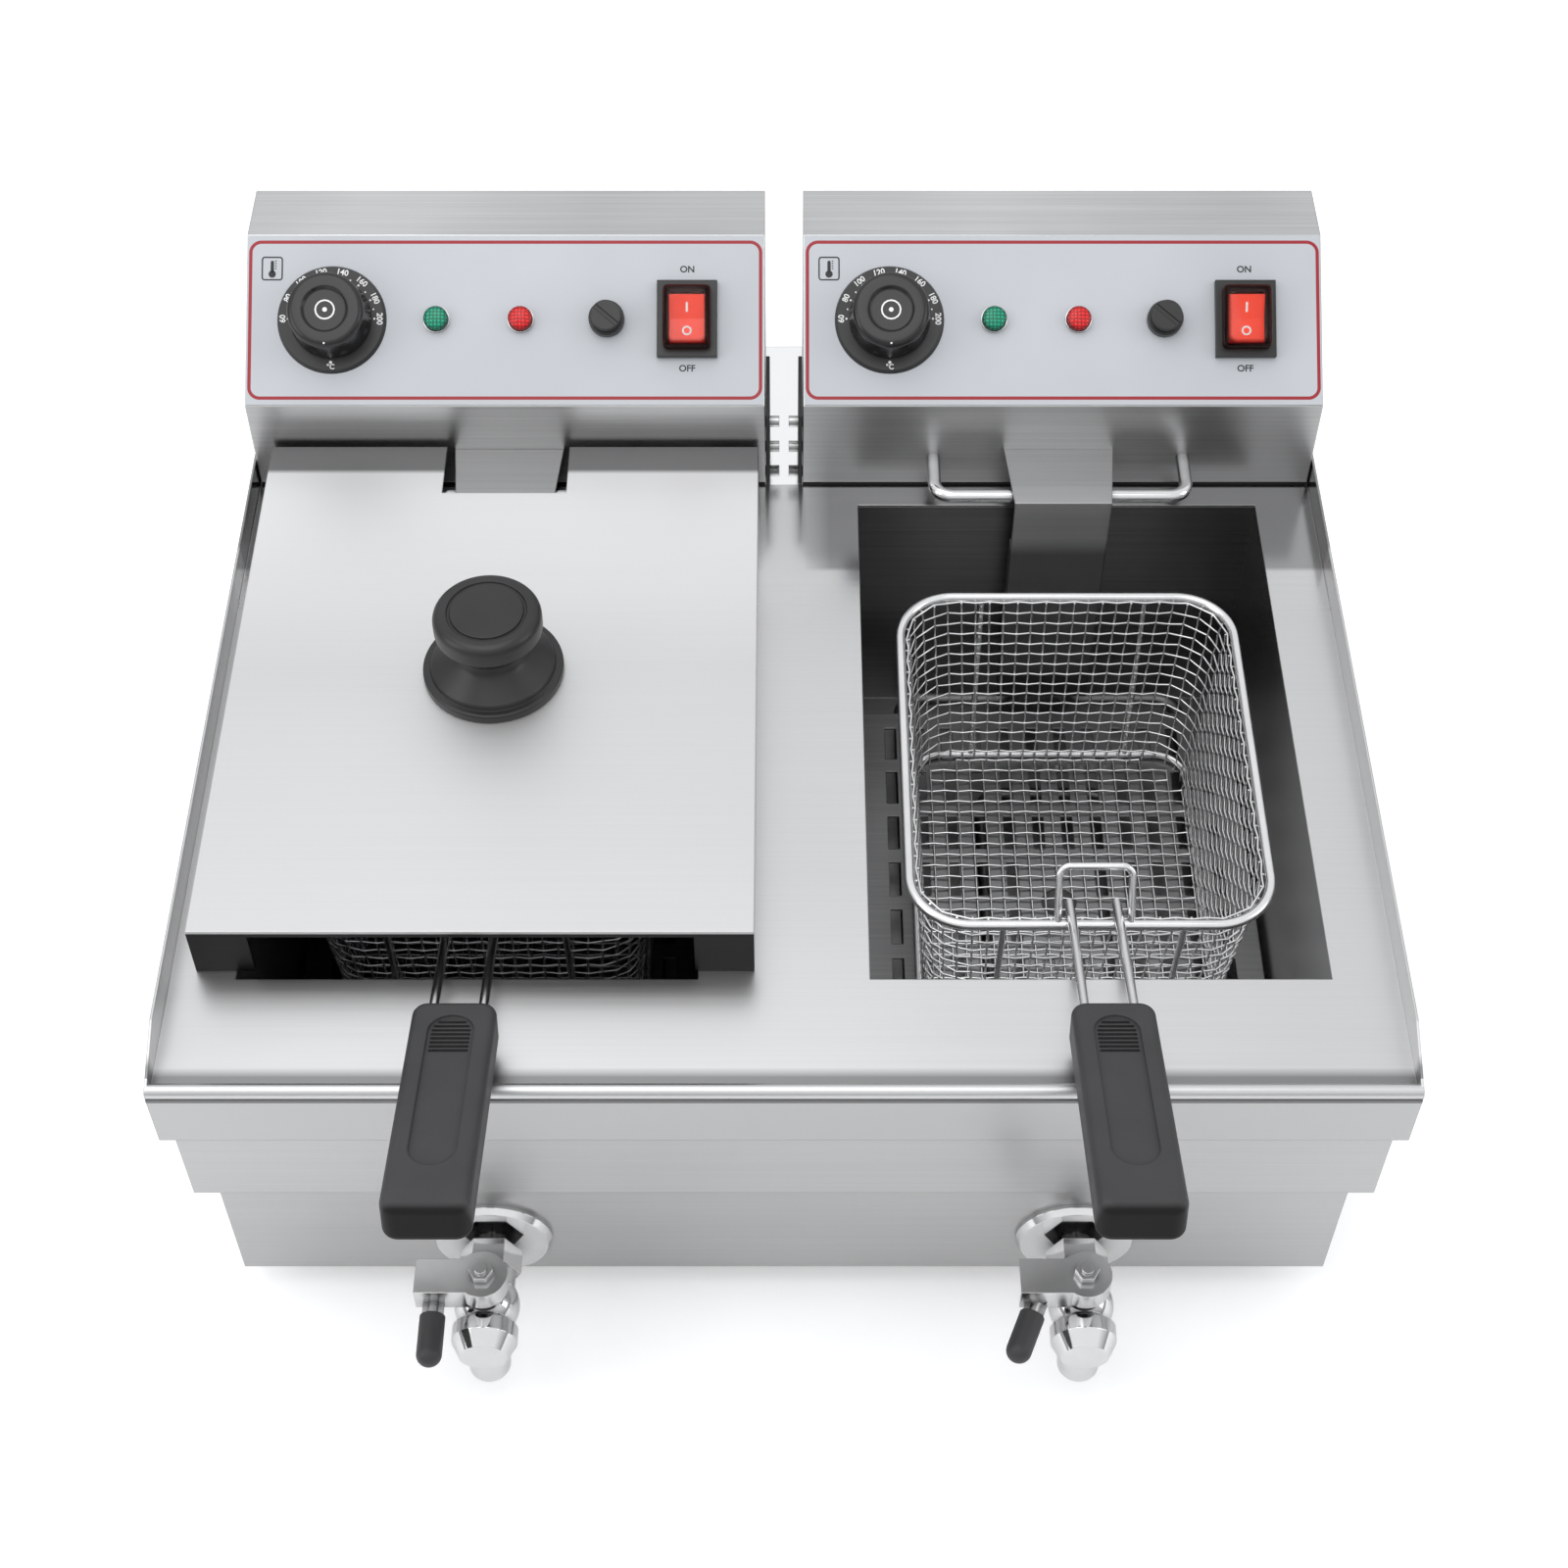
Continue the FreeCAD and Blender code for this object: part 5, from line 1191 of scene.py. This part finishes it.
for side, hue in facets:
    lens = lamp_lens(f"{side}_{hue}_lens")
    settle(lens, slopes[side] @ Matrix.Translation((lamp_places[hue], 0, LENS_FOOT)))
    wear_finish(lens, facets[side, hue], "fryer", LENS_SMOOTH)

# %% [markdown]
# ## Switch boots
#
# The clear boot over a switch is a soft box with a thin wall and no floor. A box loses its floor, a Bevel
# modifier rounds its edges, and a Solidify modifier gives it a wall that grows inwards, so its size stays
# that of the solid.

# %% Switch boots
BOOT_W, BOOT_L, BOOT_H, BOOT_WALL = 25 * MM, 33 * MM, 8.5 * MM, 0.9 * MM
BOOT_ROUND, BOOT_STEPS, BOOT_SMOOTH = 3 * MM, 5, 40
BEZEL_TOP, FACING_DOWN = 4 * MM, -0.9


def open_box(name, size):
    """A box of some size without its floor."""
    deselect_all()
    bpy.ops.mesh.primitive_cube_add(size=1)
    box = bpy.context.active_object
    box.name = name
    box.scale = size
    bpy.ops.object.transform_apply(location=False, rotation=False, scale=True)
    bpy.ops.object.mode_set(mode="EDIT")
    bpy.ops.mesh.select_mode(type="FACE")
    bpy.ops.mesh.select_all(action="DESELECT")
    bpy.ops.object.mode_set(mode="OBJECT")
    for face in box.data.polygons:
        face.select = face.normal.z < FACING_DOWN
    bpy.ops.object.mode_set(mode="EDIT")
    bpy.ops.mesh.delete(type="FACE")
    bpy.ops.object.mode_set(mode="OBJECT")
    return box


for side in SIDES:
    boot = open_box(f"{side}_clear_boot", (BOOT_W, BOOT_L, BOOT_H))
    rounding = boot.modifiers.new("rounding", "BEVEL")
    rounding.width = BOOT_ROUND
    rounding.segments = BOOT_STEPS
    rounding.limit_method = "ANGLE"
    wall = boot.modifiers.new("wall", "SOLIDIFY")
    wall.thickness = BOOT_WALL
    wall.offset = -1
    take_up(boot)
    for modifier in list(boot.modifiers):
        bpy.ops.object.modifier_apply(modifier=modifier.name)
    settle(boot, slopes[side] @ Matrix.Translation((SWITCH_U, 0, BEZEL_TOP + BOOT_H / 2)))
    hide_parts("switch_boots")
    wear_finish(boot, boots[side], "fryer", BOOT_SMOOTH)

# %% [markdown]
# ## Marks on the rockers
#
# A rocker's face is bent in its middle, and leans to the side that is pressed in. Its upper half has a
# white stroke, for on, and its lower half a ring, for off. Both marks are laid on their own half of the
# face, so that they tilt with the rocker.

# %% Marks on the rockers
ROCKER_LEAN, HALF_TILT = math.radians(8), math.atan2(2, 12.5)
MARK_V, MARK_UP = 6.0 * MM, 5.36 * MM

for side in SIDES:
    rocker = slopes[side] @ Matrix.Translation((SWITCH_U, 0, 0)) @ Matrix.Rotation(ROCKER_LEAN, 4, "X")
    upper, lower = (
        rocker @ Matrix.Translation((0, way * MARK_V, MARK_UP)) @ Matrix.Rotation(way * HALF_TILT, 4, "X")
        for way in (1, -1)
    )
    stroke = settle(bar(width=1.1 * MM, height=5 * MM, at=(0, 0), corner=0.2 * MM), upper)
    ring = settle(bar(width=5 * MM, height=5 * MM, at=(0, 0), corner=2.45 * MM, line=0.9 * MM), lower)
    rocker_marks = merge([stroke, ring], f"{side}_rocker_marks")
    wear_finish(rocker_marks, white_ink, f"{side}_switch_rocker")

# %% [markdown]
# ## Dial knobs
#
# A dial knob is one moulding: a fluted skirt for the fingers, a soft shoulder and a dished top. Its
# outline, here in millimetres, is spun like that of the lid's knob. Then eight soft hollows are pressed
# into the skirt, where the solid has its flutes. Cutting them with cylinders would leave sharp ridges, and
# a wave that fades out upwards keeps them soft.

# %% Dial knobs
RING_CLEAR, DIAL_SMOOTH = 2.8 * MM, 50
DIAL_STEPS, DIAL_LONGEST = 96, 2 * MM
DIAL_R, SKIRT_H, SHOULDER_R, DIAL_H = 20.9, 3, 19.4, 20
DISH_RIM_R, DISH_R, DISH_H = 12, 10.6, 18.4
skirt = [(0, 0, 0), (DIAL_R, 0, 0.5), (DIAL_R, SKIRT_H, 0), (SHOULDER_R, DIAL_H, 3.4)]
dish = [(DISH_RIM_R, DIAL_H, 0.8), (DISH_R, DISH_H, 1), (0, DISH_H, 0)]
FLUTES, FLUTE_DEPTH, FLUTE_NARROW, FLUTE_INNER = 8, 1.6 * MM, 1.6, 13 * MM
FLUTE_START, FLUTE_END, FADE_IN, FADE_OUT = 2 * MM, 18 * MM, 3 * MM, 9 * MM


def press_flutes(knob):
    """Press soft hollows into the skirt of a knob that stands on the origin."""
    for point in knob.data.vertices:
        radius = math.hypot(point.co.x, point.co.y)
        if radius < FLUTE_INNER or point.co.z < FLUTE_START:
            continue
        turn = math.atan2(point.co.y, point.co.x) - math.pi / FLUTES
        hollow = (0.5 + 0.5 * math.cos(FLUTES * turn)) ** FLUTE_NARROW
        fade_out = max(0, (FLUTE_END - point.co.z) / FADE_OUT)
        fade = min(1, (point.co.z - FLUTE_START) / FADE_IN, fade_out)
        shrink = 1 - FLUTE_DEPTH * hollow * fade / radius
        point.co.x *= shrink
        point.co.y *= shrink


dials = {side: slopes[side] @ Matrix.Translation((DIAL_U, 0, RING_CLEAR)) for side in SIDES}
dial_corners = [tuple(part * MM for part in corner) for corner in skirt + dish]
for side in SIDES:
    dial_knob = lathe(f"{side}_fluted_knob", dial_corners, DIAL_LONGEST, DIAL_STEPS)
    press_flutes(dial_knob)
    settle(dial_knob, dials[side])
    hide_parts(f"{side}_dial_knob")
    wear_finish(dial_knob, black_gloss, f"{side}_dial", DIAL_SMOOTH)

# %% [markdown]
# ## Marks on the dial knobs
#
# A white line on the shoulder points at the scale, and the dish has a plain ring with a dot. They lie on
# faces of different height, so each is laid on its own, and the joined piece turns with its dial.

# %% Marks on the dial knobs
POINTER_V, POINTER_UP = -15.4 * MM, 19.75 * MM
RING_W = 10.4 * MM

for side in SIDES:
    on_shoulder = dials[side] @ Matrix.Translation((0, 0, POINTER_UP))
    in_dish = dials[side] @ Matrix.Translation((0, 0, DISH_H * MM))
    pointer = settle(bar(width=0.9 * MM, height=5.4 * MM, at=(0, POINTER_V), corner=0.3 * MM), on_shoulder)
    ring = settle(bar(width=RING_W, height=RING_W, at=(0, 0), corner=5.15 * MM, line=0.8 * MM), in_dish)
    centre = settle(dot(radius=1.2 * MM, at=(0, 0)), in_dish)
    knob_marks = merge([pointer, ring, centre], f"{side}_knob_marks")
    wear_finish(knob_marks, white_ink, f"{side}_dial")

# %% [markdown]
# ## Grip ridges
#
# Each grip has a recess for the thumb with fine ridges across it. They are small rods with rounded ends,
# sunk half into the recess. The recess has a round end, so the rods there are as much shorter as its
# circle says.

# %% Grip ridges
GRIP_TILT, GRIP_L, GRIP_T = math.radians(-15), 127 * MM, 20 * MM
RECESS_DEEP, RECESS_IN, RECESS_R, RECESS_CLEAR = 1.5 * MM, 10 * MM, 10 * MM, 1.5 * MM
RIDGES, RIDGE_STEP, RIDGE_IN = 8, 2.6 * MM, 13.5 * MM
RIDGE_R, RIDGE_SIDES, RIDGE_ROUND, RIDGE_SMOOTH = 0.6 * MM, 12, 0.25 * MM, 40


def ridge_rod(along):
    """One ridge across the recess, at a distance from the grip's end."""
    past_round = max(0, RECESS_IN + RECESS_R - along)
    width = 2 * (math.sqrt(RECESS_R ** 2 - past_round ** 2) - RECESS_CLEAR)
    deselect_all()
    bpy.ops.mesh.primitive_cylinder_add(vertices=RIDGE_SIDES, radius=RIDGE_R, depth=width)
    rod = bpy.context.active_object
    bpy.ops.object.mode_set(mode="EDIT")
    bpy.ops.mesh.select_all(action="SELECT")
    bpy.ops.mesh.bevel(offset=RIDGE_ROUND, segments=2)
    bpy.ops.object.mode_set(mode="OBJECT")
    return settle(rod, Matrix.Translation((0, -along, 0)) @ Matrix.Rotation(math.pi / 2, 4, "Y"))


to_recess = Matrix.Translation((0, GRIP_L / 2, GRIP_T / 2 - RECESS_DEEP))
for side in SIDES:
    low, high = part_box(f"{side}_grip")
    on_grip = Matrix.Translation((low + high) / 2) @ Matrix.Rotation(GRIP_TILT, 4, "X") @ to_recess
    rods = [ridge_rod(RIDGE_IN + count * RIDGE_STEP) for count in range(RIDGES)]
    ridge_pad = settle(merge(rods, f"{side}_grip_ridges"), on_grip)
    wear_finish(ridge_pad, grip_plastic, f"{side}_basket", RIDGE_SMOOTH)

# %% [markdown]
# ## The size of the looks
#
# The looks must not make the fryer larger than its solids, so the box of all that is shown is printed.

# %% Finish
low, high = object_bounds()
print("visual box", tuple(low), tuple(high))
